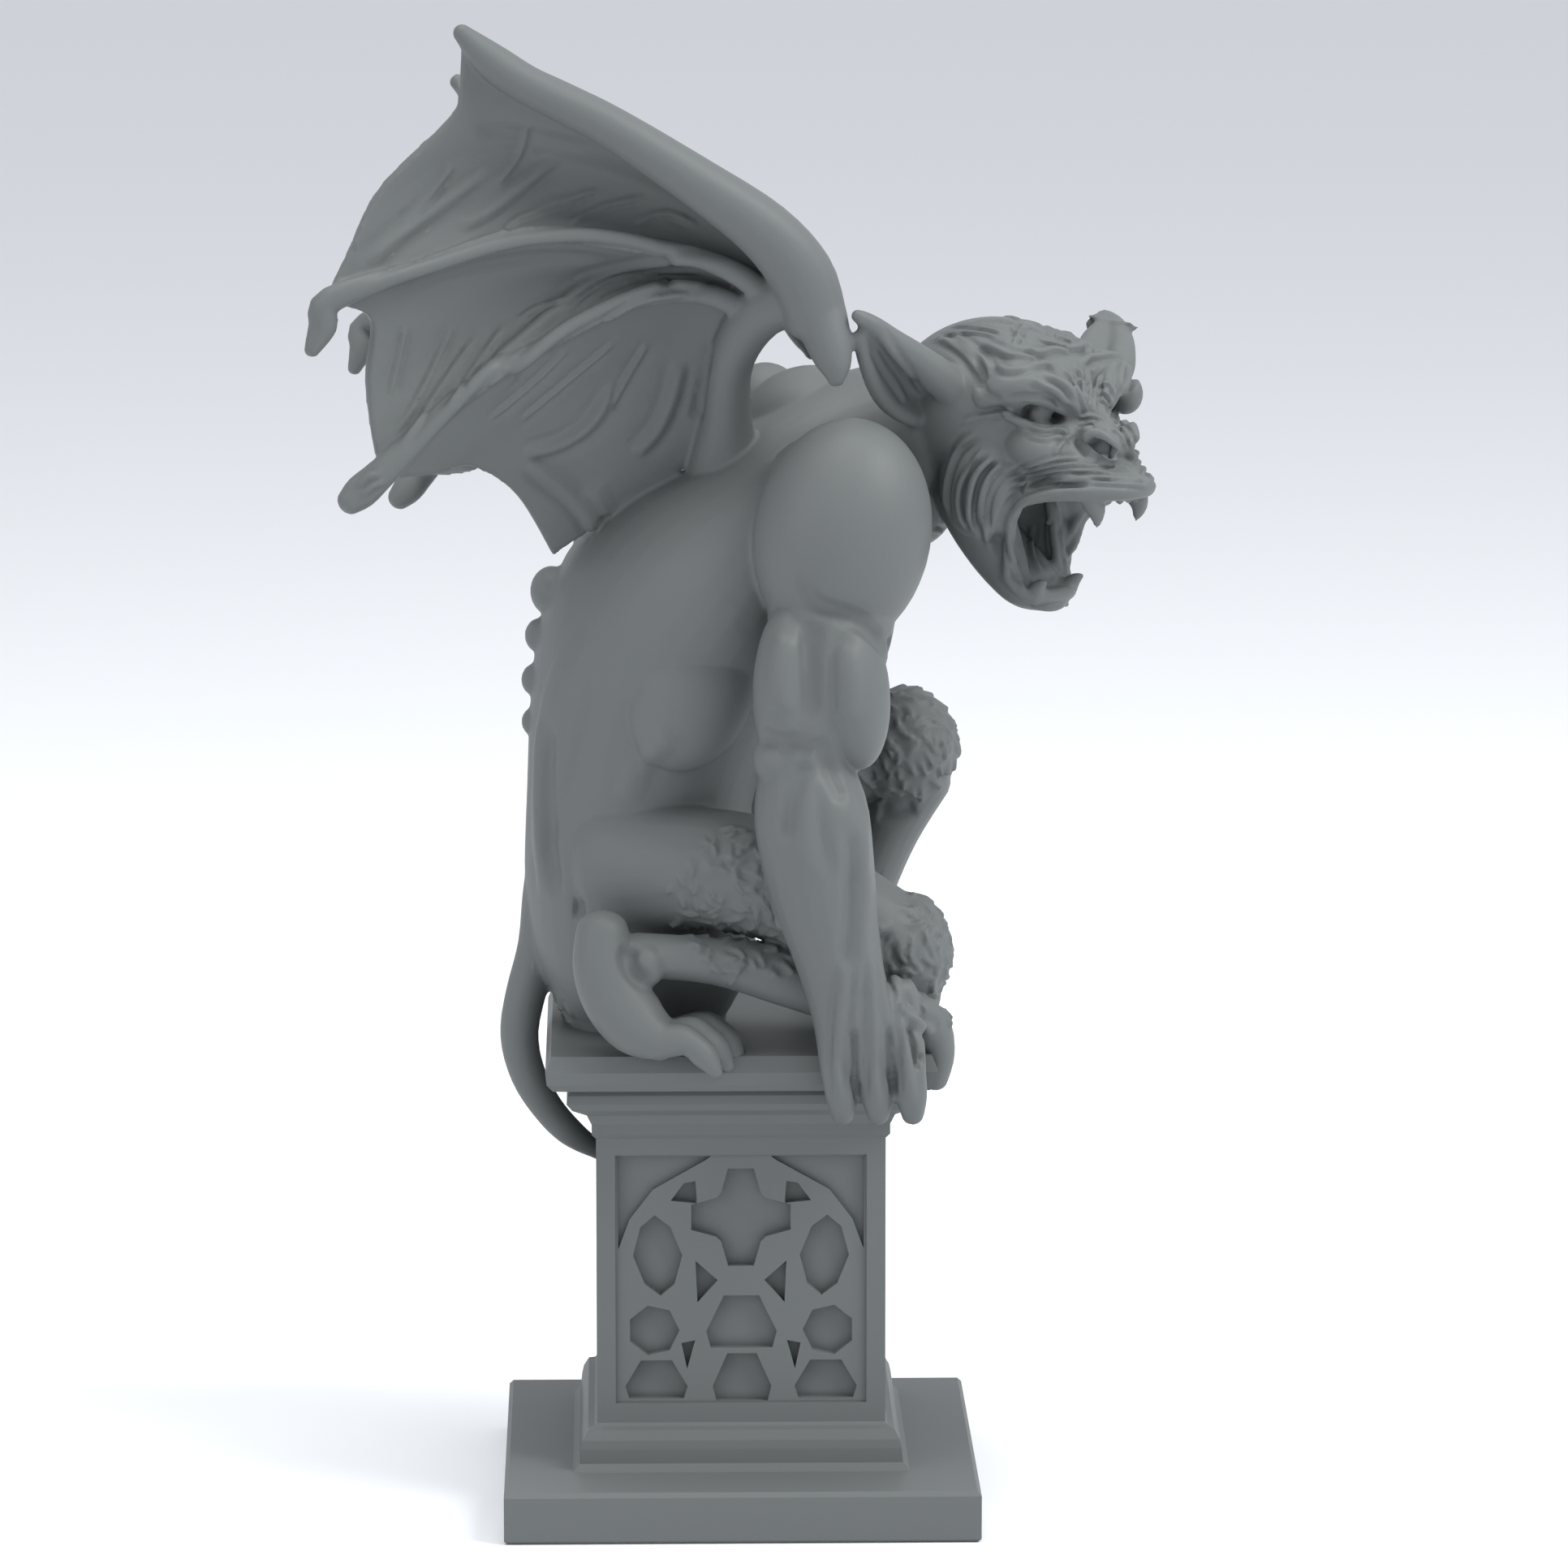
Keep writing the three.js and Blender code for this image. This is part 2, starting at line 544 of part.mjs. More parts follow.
function wing() {
  const thin = MEMBRANE_THICKNESS;
  const { leading, firstBillow, secondFinger, secondBillow, thirdFinger, thirdBillow, innerBillow, root } =
    wingRibs;
  const membrane = sheet([
    leading, firstBillow, secondFinger, below(secondFinger), secondBillow, thirdFinger,
    below(thirdFinger), thirdBillow, innerBillow, root,
  ], [thin, thin, FINGER_THICKNESS, thin, thin, FINGER_THICKNESS, thin, thin, thin, thin]);
  const claw = (rows) => limb(rows, { sides: 5 });
  const leadingBone = limb([
    [15.4, -34, 257, 6.6, 6.4], [12, -35.5, 265, 7, 6.6], [4, -37.5, 274.6, 6.4, 6.4],
    [-9, -40, 284.6, 5.4, 5.6], [-26, -41, 295.6, 4.6, 4.8], [-44, -41, 304.6, 4, 4.2],
    [-57.6, -40, 316, 1.2, 1.4],
  ], { sides: 6 });
  const spike = limb([[-49.5, -40, 298, 6, 3], [-53, -40, 305, 6, 3.4], [-57, -40, 312, 2.8, 2.4]],
    { sides: 5 });
  const upperArm = limb([
    [-3, -13, 222, 8, 7], [-2.6, -18, 237, 5, 5.2], [2, -27, 254, 5.8, 5.4], [12, -32, 260, 6.4, 6],
  ], { sides: 6 });
  const wristClaw = limb([[16.5, -35, 256, 5.8, 5.6], [18.4, -37, 250, 4.8, 4.8],
    [19.4, -38.4, 246, 3.4, 3.4], [19.6, -39, 243, 1, 1]], { sides: 5 });
  return joined([
    membrane, leadingBone, spike, upperArm, wristClaw,
    claw([[-72, -43, 264.6, 3.4, 3.4], [-80, -45, 261, 3.6, 3.2], [-85.4, -46.4, 255.6, 3.2, 3],
      [-88, -47, 250, 1.2, 1.2]]),
    claw([[-66, -42, 232.6, 3.4, 3.4], [-73.5, -44, 225.5, 3.8, 3.4], [-81, -46, 218.8, 2.4, 2.4]]),
  ]);
}

// The left wing is a little smaller, leans out more and lies further back than the right one
function leftWing(rightWing) {
  const root = [0, 14, 225];
  return mirrored(rightWing).translate(root.map((c) => -c)).scale(LEFT_WING_SCALE)
    .rotate([-LEFT_WING_LEAN, -LEFT_WING_SWEEP, 0]).translate(root);
}

function gargoyle() {
  const oneArm = joined([arm(), hand()]);
  const rightWing = wing();
  const figure = joined([
    torso(), spineBumps(), oneArm, mirrored(oneArm), rightLeg(), leftLeg(), tail(), fur(), head(),
    rightWing, leftWing(rightWing),
  ]);
  const clearance = squareStack(pedestalProfile.map(
    ([half, height], i) => [half, i === pedestalProfile.length - 1 ? height + JOINT_GAP : height]), JOINT_GAP);
  return figure.subtract(solidOf(clearance));
}

const stone = (name, solid, colour) => {
  const material = new THREE.MeshStandardMaterial({ color: colour, roughness: 0.55, metalness: 0 });
  const mesh = new THREE.Mesh(geometryOf(solid), material);
  mesh.name = name;
  return mesh;
};

const statue = new THREE.Group();
statue.name = 'gargoyle_statue';
statue.add(stone('pedestal', pedestal(), 0x59605f));
statue.add(stone('gargoyle', gargoyle(), 0x535a5a));

export default statue;
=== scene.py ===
# %% [markdown]
# A cast gargoyle on a gothic pedestal
#
# This notebook dresses the measured model of a small cast statuette: a crouching winged beast
# and the square pedestal under it. The measured model holds the true sizes. Here the beast is
# modelled again as fine clay, with fur, wrinkles and teeth, and both castings then get a plain
# dark stone colour. The first cell loads the frame and keeps its box.

# %% Load the frame
import math

import bmesh
import bpy
import numpy as np
from mathutils import Matrix, Vector
from mathutils.bvhtree import BVHTree
from mathutils.kdtree import KDTree


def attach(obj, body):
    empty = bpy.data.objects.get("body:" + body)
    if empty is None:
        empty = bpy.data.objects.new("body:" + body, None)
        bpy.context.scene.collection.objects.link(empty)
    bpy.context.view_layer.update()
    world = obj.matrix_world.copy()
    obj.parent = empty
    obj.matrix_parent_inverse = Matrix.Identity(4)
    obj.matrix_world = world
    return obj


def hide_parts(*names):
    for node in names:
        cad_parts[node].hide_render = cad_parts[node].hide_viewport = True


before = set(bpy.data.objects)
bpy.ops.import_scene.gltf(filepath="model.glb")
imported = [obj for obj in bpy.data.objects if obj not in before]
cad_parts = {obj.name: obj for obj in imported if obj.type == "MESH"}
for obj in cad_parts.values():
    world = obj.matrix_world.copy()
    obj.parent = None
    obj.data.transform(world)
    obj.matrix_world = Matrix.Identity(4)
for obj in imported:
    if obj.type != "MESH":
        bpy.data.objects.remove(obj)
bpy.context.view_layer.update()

MM = 0.001

# %% [markdown]
# The camera
#
# The photograph was taken from the figure's right side, a little above it and far away, with a
# long lens. Its place was worked out from the edges of the slab and the cap, whose sizes are
# known. A long lens keeps the square pedestal looking square. The same camera also turns a place
# in the picture into a ray, which is later used to set wrinkles where they are seen.

# %% Camera
scene = bpy.context.scene
PICTURE_SIZE = 1932
FOCAL_PIXELS = 9807
SENSOR_MM = 36
CAMERA_PLACE = Vector((-26.1, -1668.4, 437.0))
CAMERA_PITCH = 9.68
CAMERA_YAW = 1.23

camera = bpy.data.objects.new("camera", bpy.data.cameras.new("camera"))
scene.collection.objects.link(camera)
camera.data.sensor_width = SENSOR_MM
camera.data.lens = FOCAL_PIXELS / PICTURE_SIZE * SENSOR_MM
camera.data.clip_end = 100
camera.location = CAMERA_PLACE * MM
camera.rotation_euler = (math.radians(90 - CAMERA_PITCH), 0, math.radians(-CAMERA_YAW))
scene.camera = camera
camera_turn = camera.rotation_euler.to_matrix()


def sight_line(across, down):
    """The direction in which the camera sees a place in the photograph."""
    middle = PICTURE_SIZE / 2
    return (camera_turn @ Vector((across - middle, middle - down, -FOCAL_PIXELS))).normalized()


print("lens in mm:", round(camera.data.lens, 1))

# %% [markdown]
# Floor and light
#
# The statuette stands on a plain pale floor that fills the whole picture. Its soft shadow falls
# to the left and back, so the main light is a large soft one from the upper right, with a
# paler fill from the left and a bright sky all round, as in a light tent.

# %% Floor and lights
floor_mesh = bmesh.new()
bmesh.ops.create_grid(floor_mesh, x_segments=1, y_segments=1, size=12)
floor = bpy.data.objects.new("floor", bpy.data.meshes.new("floor"))
floor_mesh.to_mesh(floor.data)
floor_mesh.free()
scene.collection.objects.link(floor)


def plain_material(name, colour, roughness):
    """A material of one colour, for the floor alone."""
    material = bpy.data.materials.new(name)
    material.use_nodes = True
    shader = material.node_tree.nodes["Principled BSDF"]
    shader.inputs["Base Color"].default_value = (*colour, 1)
    shader.inputs["Roughness"].default_value = roughness
    shader.inputs["Specular IOR Level"].default_value = 0.2
    return material


floor.data.materials.append(plain_material("pale floor", (0.86, 0.87, 0.885), 0.9))


def soft_box(name, place, size, power):
    """A square area light that looks at the middle of the statuette."""
    light = bpy.data.objects.new(name, bpy.data.lights.new(name, "AREA"))
    light.data.shape = "SQUARE"
    light.data.size = size
    light.data.energy = power
    light.location = place
    aim = Vector((0, 0, 0.17)) - Vector(place)
    light.rotation_euler = aim.to_track_quat("-Z", "Y").to_euler()
    scene.collection.objects.link(light)
    return light


soft_box("key light", (0.95, -0.45, 1.15), 0.7, 17)
soft_box("top light", (-0.15, -0.1, 1.6), 0.9, 12)
soft_box("left fill", (-1.3, -0.9, 0.6), 0.9, 6)

world = bpy.data.worlds.new("light tent")
world.use_nodes = True
world.node_tree.nodes["Background"].inputs["Color"].default_value = (0.93, 0.95, 1.0, 1)
world.node_tree.nodes["Background"].inputs["Strength"].default_value = 0.75
scene.world = world
scene.view_settings.view_transform = "Standard"

# %% [markdown]
# Lumps of clay
#
# A sculptor builds a figure from lumps and rolls of clay and then joins them. The same is done
# here. A roll is a row of circles bridged into a tube, and a lump is a stretched ball. All of
# them overlap freely. A voxel remesh then fuses them into one skin, as thumbs would.
# Everything is modelled in millimetres and brought to metres at the end.

# %% Rolls and lumps


def smooth_rows(rows, steps):
    """In-between rows on a smooth curve through short rows of numbers."""
    rows = np.array(rows, float)
    last = len(rows) - 1
    before = np.vstack([rows[:1], rows[:-1]])
    after = np.vstack([rows[1:], rows[-1:]])
    slopes = (after - before) / 2
    smooth = []
    for i in range(last):
        for k in range(steps):
            t = k / steps
            start, end = rows[i], rows[i + 1]
            bend = 3 * (end - start) - 2 * slopes[i] - slopes[i + 1]
            twist = 2 * (start - end) + slopes[i] + slopes[i + 1]
            smooth.append(start + slopes[i] * t + bend * t * t + twist * t ** 3)
    smooth.append(rows[last])
    return np.array(smooth)


class Clay:
    """Lumps and rolls that are waiting to be fused, in millimetres."""

    def __init__(self):
        self.mesh = bmesh.new()

    def press(self, lump, place):
        """Moves a finished lump to its place and adds it to the heap."""
        bmesh.ops.transform(lump, matrix=place, verts=lump.verts)
        if place.determinant() < 0:
            bmesh.ops.reverse_faces(lump, faces=lump.faces)
        holder = bpy.data.meshes.new("lump")
        lump.to_mesh(holder)
        lump.free()
        self.mesh.from_mesh(holder)
        bpy.data.meshes.remove(holder)

    def ball(self, centre, halves, nod=0, turn=0, place=Matrix()):
        """A stretched ball, turned about Y (nod) and then Z (turn)."""
        lump = bmesh.new()
        bmesh.ops.create_icosphere(lump, subdivisions=4, radius=1)
        shape = Matrix.Translation(centre) @ Matrix.Rotation(math.radians(turn), 4, "Z")
        shape = shape @ Matrix.Rotation(math.radians(nod), 4, "Y") @ Matrix.Diagonal((*halves, 1))
        self.press(lump, place @ shape)

    def roll(self, stations, across=(0, 1, 0), sides=20, steps=4, place=Matrix()):
        """A tube through stations of x, y, z, half depth and half width, with round ends."""
        rows = smooth_rows(stations, steps)
        lump = bmesh.new()
        rings = []
        for i, row in enumerate(rows):
            along = Vector(rows[min(i + 1, len(rows) - 1)][:3] - rows[max(i - 1, 0)][:3]).normalized()
            width = (Vector(across) - along * along.dot(Vector(across))).normalized()
            depth = along.cross(width)
            half_depth, half_width = max(row[3], 0.1), max(row[4], 0.1)
            frame_here = Matrix((width * half_width, depth * half_depth, along)).transposed().to_4x4()
            frame_here.translation = row[:3]
            made = bmesh.ops.create_circle(lump, segments=sides, radius=1, matrix=frame_here)
            rings.append(list({edge for vert in made["verts"] for edge in vert.link_edges}))
            if i in (0, len(rows) - 1):
                cap = frame_here @ Matrix.Diagonal((1, 1, min(half_depth, half_width) * 0.8, 1))
                bmesh.ops.create_icosphere(lump, subdivisions=3, radius=0.985, matrix=cap)
        for first, second in zip(rings, rings[1:]):
            bmesh.ops.bridge_loops(lump, edges=first + second)
        bmesh.ops.edgeloop_fill(lump, edges=rings[0])
        bmesh.ops.edgeloop_fill(lump, edges=rings[-1])
        bmesh.ops.recalc_face_normals(lump, faces=lump.faces)
        self.press(lump, place)


def sheet(clay, ribs, thickness, place, steps=8):
    """A skin of even thickness, stretched smoothly over rows of places."""
    along = np.array([smooth_rows(rib, steps) for rib in ribs])
    surface = np.array([smooth_rows(along[:, j], steps) for j in range(along.shape[1])]).transpose(1, 0, 2)
    rows, columns = surface.shape[:2]
    skin = bmesh.new()
    bmesh.ops.create_grid(skin, x_segments=columns - 1, y_segments=rows - 1, size=1)
    for vert in skin.verts:
        i = round((vert.co.y + 1) / 2 * (rows - 1))
        j = round((vert.co.x + 1) / 2 * (columns - 1))
        vert.co = surface[i, j]
    skin.normal_update()
    bmesh.ops.solidify(skin, geom=skin.faces[:], thickness=thickness)
    bmesh.ops.recalc_face_normals(skin, faces=skin.faces)
    clay.press(skin, place)


def fused(name, clay, voxel):
    """One skin round a heap of clay."""
    mesh = bpy.data.meshes.new(name)
    clay.mesh.to_mesh(mesh)
    clay.mesh.free()
    piece = bpy.data.objects.new(name, mesh)
    scene.collection.objects.link(piece)
    remesh = piece.modifiers.new("fuse", "REMESH")
    remesh.mode = "VOXEL"
    remesh.voxel_size = voxel
    settle(piece)
    return piece


def settle(piece):
    """Works a piece's modifiers into its mesh."""
    graph = bpy.context.evaluated_depsgraph_get()
    mesh = bpy.data.meshes.new_from_object(piece.evaluated_get(graph))
    old = piece.data
    piece.modifiers.clear()
    piece.data = mesh
    bpy.data.meshes.remove(old)


def cut(piece, cutter, solver="EXACT"):
    """Takes the cutter's shape out of a piece."""
    boolean = piece.modifiers.new("cut", "BOOLEAN")
    boolean.operation = "DIFFERENCE"
    boolean.solver = solver
    boolean.object = cutter
    settle(piece)
    bpy.data.objects.remove(cutter)


FLIP = Matrix.Diagonal((1, -1, 1, 1))
FINE_VOXEL = 0.55
print("voxel in mm:", FINE_VOXEL)

# %% [markdown]
# The body
#
# The trunk is one fat roll from the haunches, over the hunched back, to the neck. Muscles of the
# back, the rib cage and the chest lie on it as lumps, which is how the real sculptor's forms
# read in the photograph. The arms are straight columns with clear muscles, planted on the cap.

# %% Trunk and arms
SHOULDER_SIDE = 36
ARM_SIDE = 43
CAP_HALF = 41
CAP_TOP = 101.5


def trunk(clay):
    """Haunches, back, neck and chest."""
    clay.roll([
        (-20, 0, 104, 18, 19), (-20, 0, 116, 23.5, 26), (-21, 0, 132, 24.5, 28),
        (-21, 0, 150, 24, 26), (-18, 0, 168, 26.5, 28), (-13, 0, 184, 29, 34), (-4, 0, 198, 27, 38),
        (7, 0, 211, 19.5, 36), (18, 0, 221, 16.5, 28), (31, -3, 227, 15.5, 18.5), (43, -8, 230, 13.5, 15.5),
    ], sides=36)
    clay.ball((15, 2, 230), (14, 13, 11.6), nod=-8)
    clay.ball((6, 13, 231), (9, 9, 10))
    clay.ball((36, -4, 216), (10.6, 13.4, 12.6))
    for side in (-1, 1):
        clay.roll([
            (-33, 9.5 * side, 130, 10, 8), (-33.5, 10.5 * side, 150, 10.6, 9),
            (-30.5, 13 * side, 172, 11.4, 11), (-24, 16 * side, 190, 10.6, 12),
        ])
        clay.ball((19, 15 * side, 200), (12.6, 16.4, 11.6), nod=30)
        clay.ball((-10, 26 * side, 176), (13, 9, 17), nod=24)
    for x, z, size in ((-39.4, 194, 4.6), (-42, 184.5, 3.2), (-43, 175, 3), (-43.4, 166, 2.6)):
        clay.ball((x, 0, z), (size, size * 1.3, size * 1.15))


def arm(clay, place):
    """The arm with its shoulder and muscles, and the hand that grips the cap's edge."""
    side = -ARM_SIDE
    clay.roll([
        (20, -SHOULDER_SIDE + 4, 222, 14.5, 12.5), (19, side + 4, 198, 13.6, 11.4),
        (16.5, side, 179, 11.6, 10.4), (13.6, side - 0.5, 166, 9.8, 9.4), (14.5, side - 2, 153, 12, 10),
        (17, side - 3, 137, 11, 9), (19.5, side - 3, 126, 9.4, 8), (22, side - 2.5, 116, 8.6, 7.2),
        (25, side - 2, 108, 10, 7), (27, side - 1.4, 101, 11, 6),
    ], place=place)
    clay.ball((21, -SHOULDER_SIDE - 1, 211), (18.4, 17, 24.4), nod=10, place=place)
    clay.ball((9.5, side - 1.5, 180), (7.2, 9.6, 18), nod=2, place=place)
    clay.ball((23, side - 2, 180), (7.6, 9.8, 17), nod=-6, place=place)
    clay.ball((6.8, side - 3, 165.5), (4.6, 6, 5.6), place=place)
    clay.ball((19, side - 6.5, 151), (6.2, 6, 15.5), nod=-12, place=place)
    clay.ball((10.5, side - 4, 146), (5.6, 6, 13), nod=-8, place=place)
    edge = -CAP_HALF
    for knuckle, tip in ((19.5, 21), (27, 28.4), (34, 35.6)):
        clay.roll([
            (knuckle - 1, edge - 1.5, 116, 3.4, 3.4), (knuckle, edge - 4.4, 106, 4, 3.9),
            (0.4 * tip + 0.6 * knuckle, edge - 6, 99.5, 3.7, 3.7),
            (0.8 * tip + 0.2 * knuckle, edge - 5.6, 94, 3.3, 3.3), (tip, edge - 3.8, 90, 2.4, 2.6),
        ], sides=16, place=place)
    clay.roll([
        (28, edge, 111, 4.6, 4.4), (35, edge + 3, 110, 4.8, 4.6), (39.4, edge + 5.4, 106.6, 4.6, 4.4),
        (41.2, edge + 7, 100.6, 3.7, 3.7), (40.6, edge + 7.5, 95, 2.8, 2.8),
    ], sides=16, place=place)


# %% [markdown]
# The hind legs and tail
#
# The right leg squats: its heel is up, the shin runs forward along the cap, and the toes hook
# over nothing but the cap's top. The left knee is raised. The tail leaves the haunches, bends
# over the back edge of the cap and runs down beside the shaft.

# %% Hind legs and tail


def toe(clay, start, ahead, length, drop, size=3.3):
    """A toe with a knuckle and a blunt claw, from the foot forwards and down."""
    x, y, z = start
    rows = []
    for part, fall, thick in ((0, 0, 1), (0.4, -0.22, 1.06), (0.62, -0.05, 0.86), (0.82, 0.4, 0.84), (1, 1, 0.42)):
        rows.append((x + ahead[0] * length * part, y + ahead[1] * length * part, z - drop * fall,
                     size * thick, size * thick))
    clay.roll(rows, sides=14)


def legs(clay):
    """Both hind legs, which differ."""
    clay.roll([
        (-26, -18, 137, 16.4, 11.4), (-10, -25, 139, 13, 12.4), (6, -28, 137, 12.4, 12.4),
        (20, -28, 130, 11.6, 11.6), (32, -26, 121.5, 11.6, 11),
    ], sides=28)
    clay.ball((34, -26, 121), (10.2, 10.8, 12.8))
    clay.roll([
        (34, -27, 112, 7.6, 7.6), (24, -30, 113, 7.2, 7.2), (10, -33, 117, 6.4, 6.4),
        (-6, -35.5, 121, 4.9, 5.8), (-22, -37, 122.5, 4.8, 5.6),
    ])
    clay.roll([
        (-29, -38.5, 128, 5.6, 5.8), (-28.5, -39, 121, 6.8, 6.6), (-26, -40, 114, 7.2, 6.8),
        (-21.5, -41, 108.5, 6.8, 7.2), (-16.5, -41, 105.4, 4.6, 7),
    ])
    clay.ball((-20, -40.5, 121), (4.2, 3.8, 4.6))
    for start in ((-18.5, -44.4, 105), (-16, -40, 105.6), (-13.5, -35.4, 105.6), (-13, -31, 105)):
        toe(clay, start, (0.95, -0.2), 14, 5.6)
    clay.roll([
        (-22, 18, 140, 17.4, 11.4), (-4, 24, 146, 14.4, 12.4), (14, 27, 152, 12.4, 12.4),
        (28, 27, 156.5, 11.8, 11.8),
    ], sides=28)
    clay.ball((36, 26, 156), (11.8, 12.2, 13))
    clay.roll([
        (38.6, 26, 150, 8.2, 9), (33, 27, 138, 6.8, 7.6), (28, 27, 126, 6.6, 7.2), (25, 27, 114, 6, 6.6),
        (24, 27, 106.5, 6.6, 7.6),
    ])
    clay.roll([(16, 27, 105.5, 4.4, 6.6), (24, 27, 106, 5.2, 8.2), (31, 27, 105.6, 4.2, 8.6)])
    for y in (19.5, 24.5, 29.5, 34.5):
        toe(clay, (28.5, y, 105.6), (1, 0), 12, 2.6)


def tail(clay):
    """The tail, thick at the root and flat against the back edge of the cap."""
    clay.roll([
        (-38, 0, 140, 6, 8.6), (-40.5, -1, 130, 5.4, 7), (-42.5, -2, 118, 4.6, 5.6),
        (-45.6, -3, 107, 4.3, 4.9), (-46.8, -3, 98.5, 4.1, 4.5), (-45, -2, 90, 3.8, 4.1),
        (-41, 0, 82.4, 3.4, 3.7), (-36, 2, 76.4, 3, 3.3), (-29.6, 7, 71, 1.8, 2.1),
    ])


# %% [markdown]
# The head
#
# The head has a frame of its own, with X out of the face and Y to its left, and is turned to the
# figure's right at the end. It is built on a ball for the skull, a short muzzle and a long
# hollow jaw. The open mouth is cut out before the teeth and the tongue go in.

# %% Head
HEAD_CENTRE = Vector((57, -13, 233))
HEAD_TURN = 41
HEAD_PLACE = Matrix.Translation(HEAD_CENTRE) @ Matrix.Rotation(math.radians(-HEAD_TURN), 4, "Z")


def mouth_cutter():
    """The wedge between the jaws with a round throat behind it, in the head's frame."""
    clay = Clay()
    clay.ball((5, 0, -22.5), (9, 7.6, 7.6), nod=30)
    clay.roll([
        (7, 0, -25, 9, 7.6), (10, 0, -25.4, 9.8, 9), (13.5, 0, -25.6, 10.2, 14), (18, 0, -25.8, 10.6, 19),
        (30, 0, -26, 11, 25), (48, 0, -26, 11, 28),
    ], sides=36)
    return fused("mouth", clay, 0.9)


def skull_and_jaws(clay):
    """The closed forms of the head, which the mouth and the sockets are then cut from."""
    clay.ball((-4, 0, 1), (23.4, 20, 19.2))
    clay.roll([
        (6, 0, -3, 12.4, 16), (16, 0, -5.4, 9.8, 14.4), (24, 0, -9.8, 5.2, 12), (29.6, 0, -12, 3, 9),
        (32.6, 0, -12.6, 2.2, 6),
    ], sides=30)
    clay.roll([
        (-4, 0, -14, 12.4, 16.4), (-1, 0, -22, 10.4, 14.8), (3, 0, -30, 8.4, 11.6), (6.4, 0, -35.4, 5.6, 9.2),
        (10, 0, -37.4, 3.6, 6),
    ], sides=30)
    clay.ball((11, 0, -37.8), (3.2, 5, 3))
    for side in (-1, 1):
        clay.ball((5, 7 * side, 5.6), (12, 9.6, 12))
        clay.ball((12, 12.6 * side, 8.4), (6.6, 7.6, 5.2))
        clay.ball((3, 13.4 * side, -13), (10.6, 6.6, 12))
        clay.ball((15.4, 10.6 * side, -4.6), (7.4, 6.4, 4.8), nod=10)


def sockets():
    """The two hollows that the eyes sit in."""
    clay = Clay()
    for side in (-1, 1):
        clay.ball((18, 11 * side, 2.6), (5.4, 6.6, 3), turn=-35 * side)
    return fused("sockets", clay, 0.7)


RIGHT_EAR = (
    ((0, -14, 5), (-3, -13, 0), 1), ((-1.9, -17, 6.9), (-8.1, -16, 0), 3.6), ((-3.3, -22, 10.6), (-9.4, -21, 0), 4.6),
    ((-4.7, -27, 14.3), (-11, -26.4, 2.6), 4.4), ((-6.1, -32, 17.7), (-11.2, -31.4, 6.8), 3.4),
    ((-7.4, -37, 21.4), (-10, -36.4, 13), 1.8), ((-8.5, -40.6, 23.6), (-9.4, -39.6, 19.4), 0.4),
)
LEFT_EAR = (
    ((10, 14, 6), (4, 13, 9), 1), ((12, 20, 8), (4.2, 18, 11.6), 2.6), ((9.4, 25.4, 11.6), (1.6, 24, 14), 2.8),
    ((5.4, 30, 14.4), (0, 29, 15.6), 2), ((1.4, 33.4, 16.2), (-1.6, 32.6, 16.4), 1), ((-2, 35.4, 17.4), (-3, 35, 17), 0.2),
)
RIM_THICKNESS = (4.4, 4.2, 3.8, 3.2, 2.7, 2.1, 1.4)
EDGE_THICKNESS = (1.7, 1.6, 1.5, 1.4, 1.3, 1.2, 1.1)
EAR_SKIN = 1.8


def ear(clay, ribs):
    """A cupped ear with a thick rolled rim, in the head's frame."""
    side = math.copysign(1, ribs[0][0][1])
    away = Vector((-0.66, -0.75 * side, 0))
    cup = []
    for rim, edge, depth in ribs:
        rim, edge = Vector(rim), Vector(edge)
        cup.append([rim, rim.lerp(edge, 0.33) + away * depth, rim.lerp(edge, 0.67) + away * depth, edge])
    sheet(clay, cup, EAR_SKIN, HEAD_PLACE, steps=3)
    for column, thickness in ((0, RIM_THICKNESS), (3, EDGE_THICKNESS)):
        line = [(*rib[column], thick, thick) for rib, thick in zip(cup, thickness[-len(cup):])]
        clay.roll(line, sides=16, place=HEAD_PLACE)


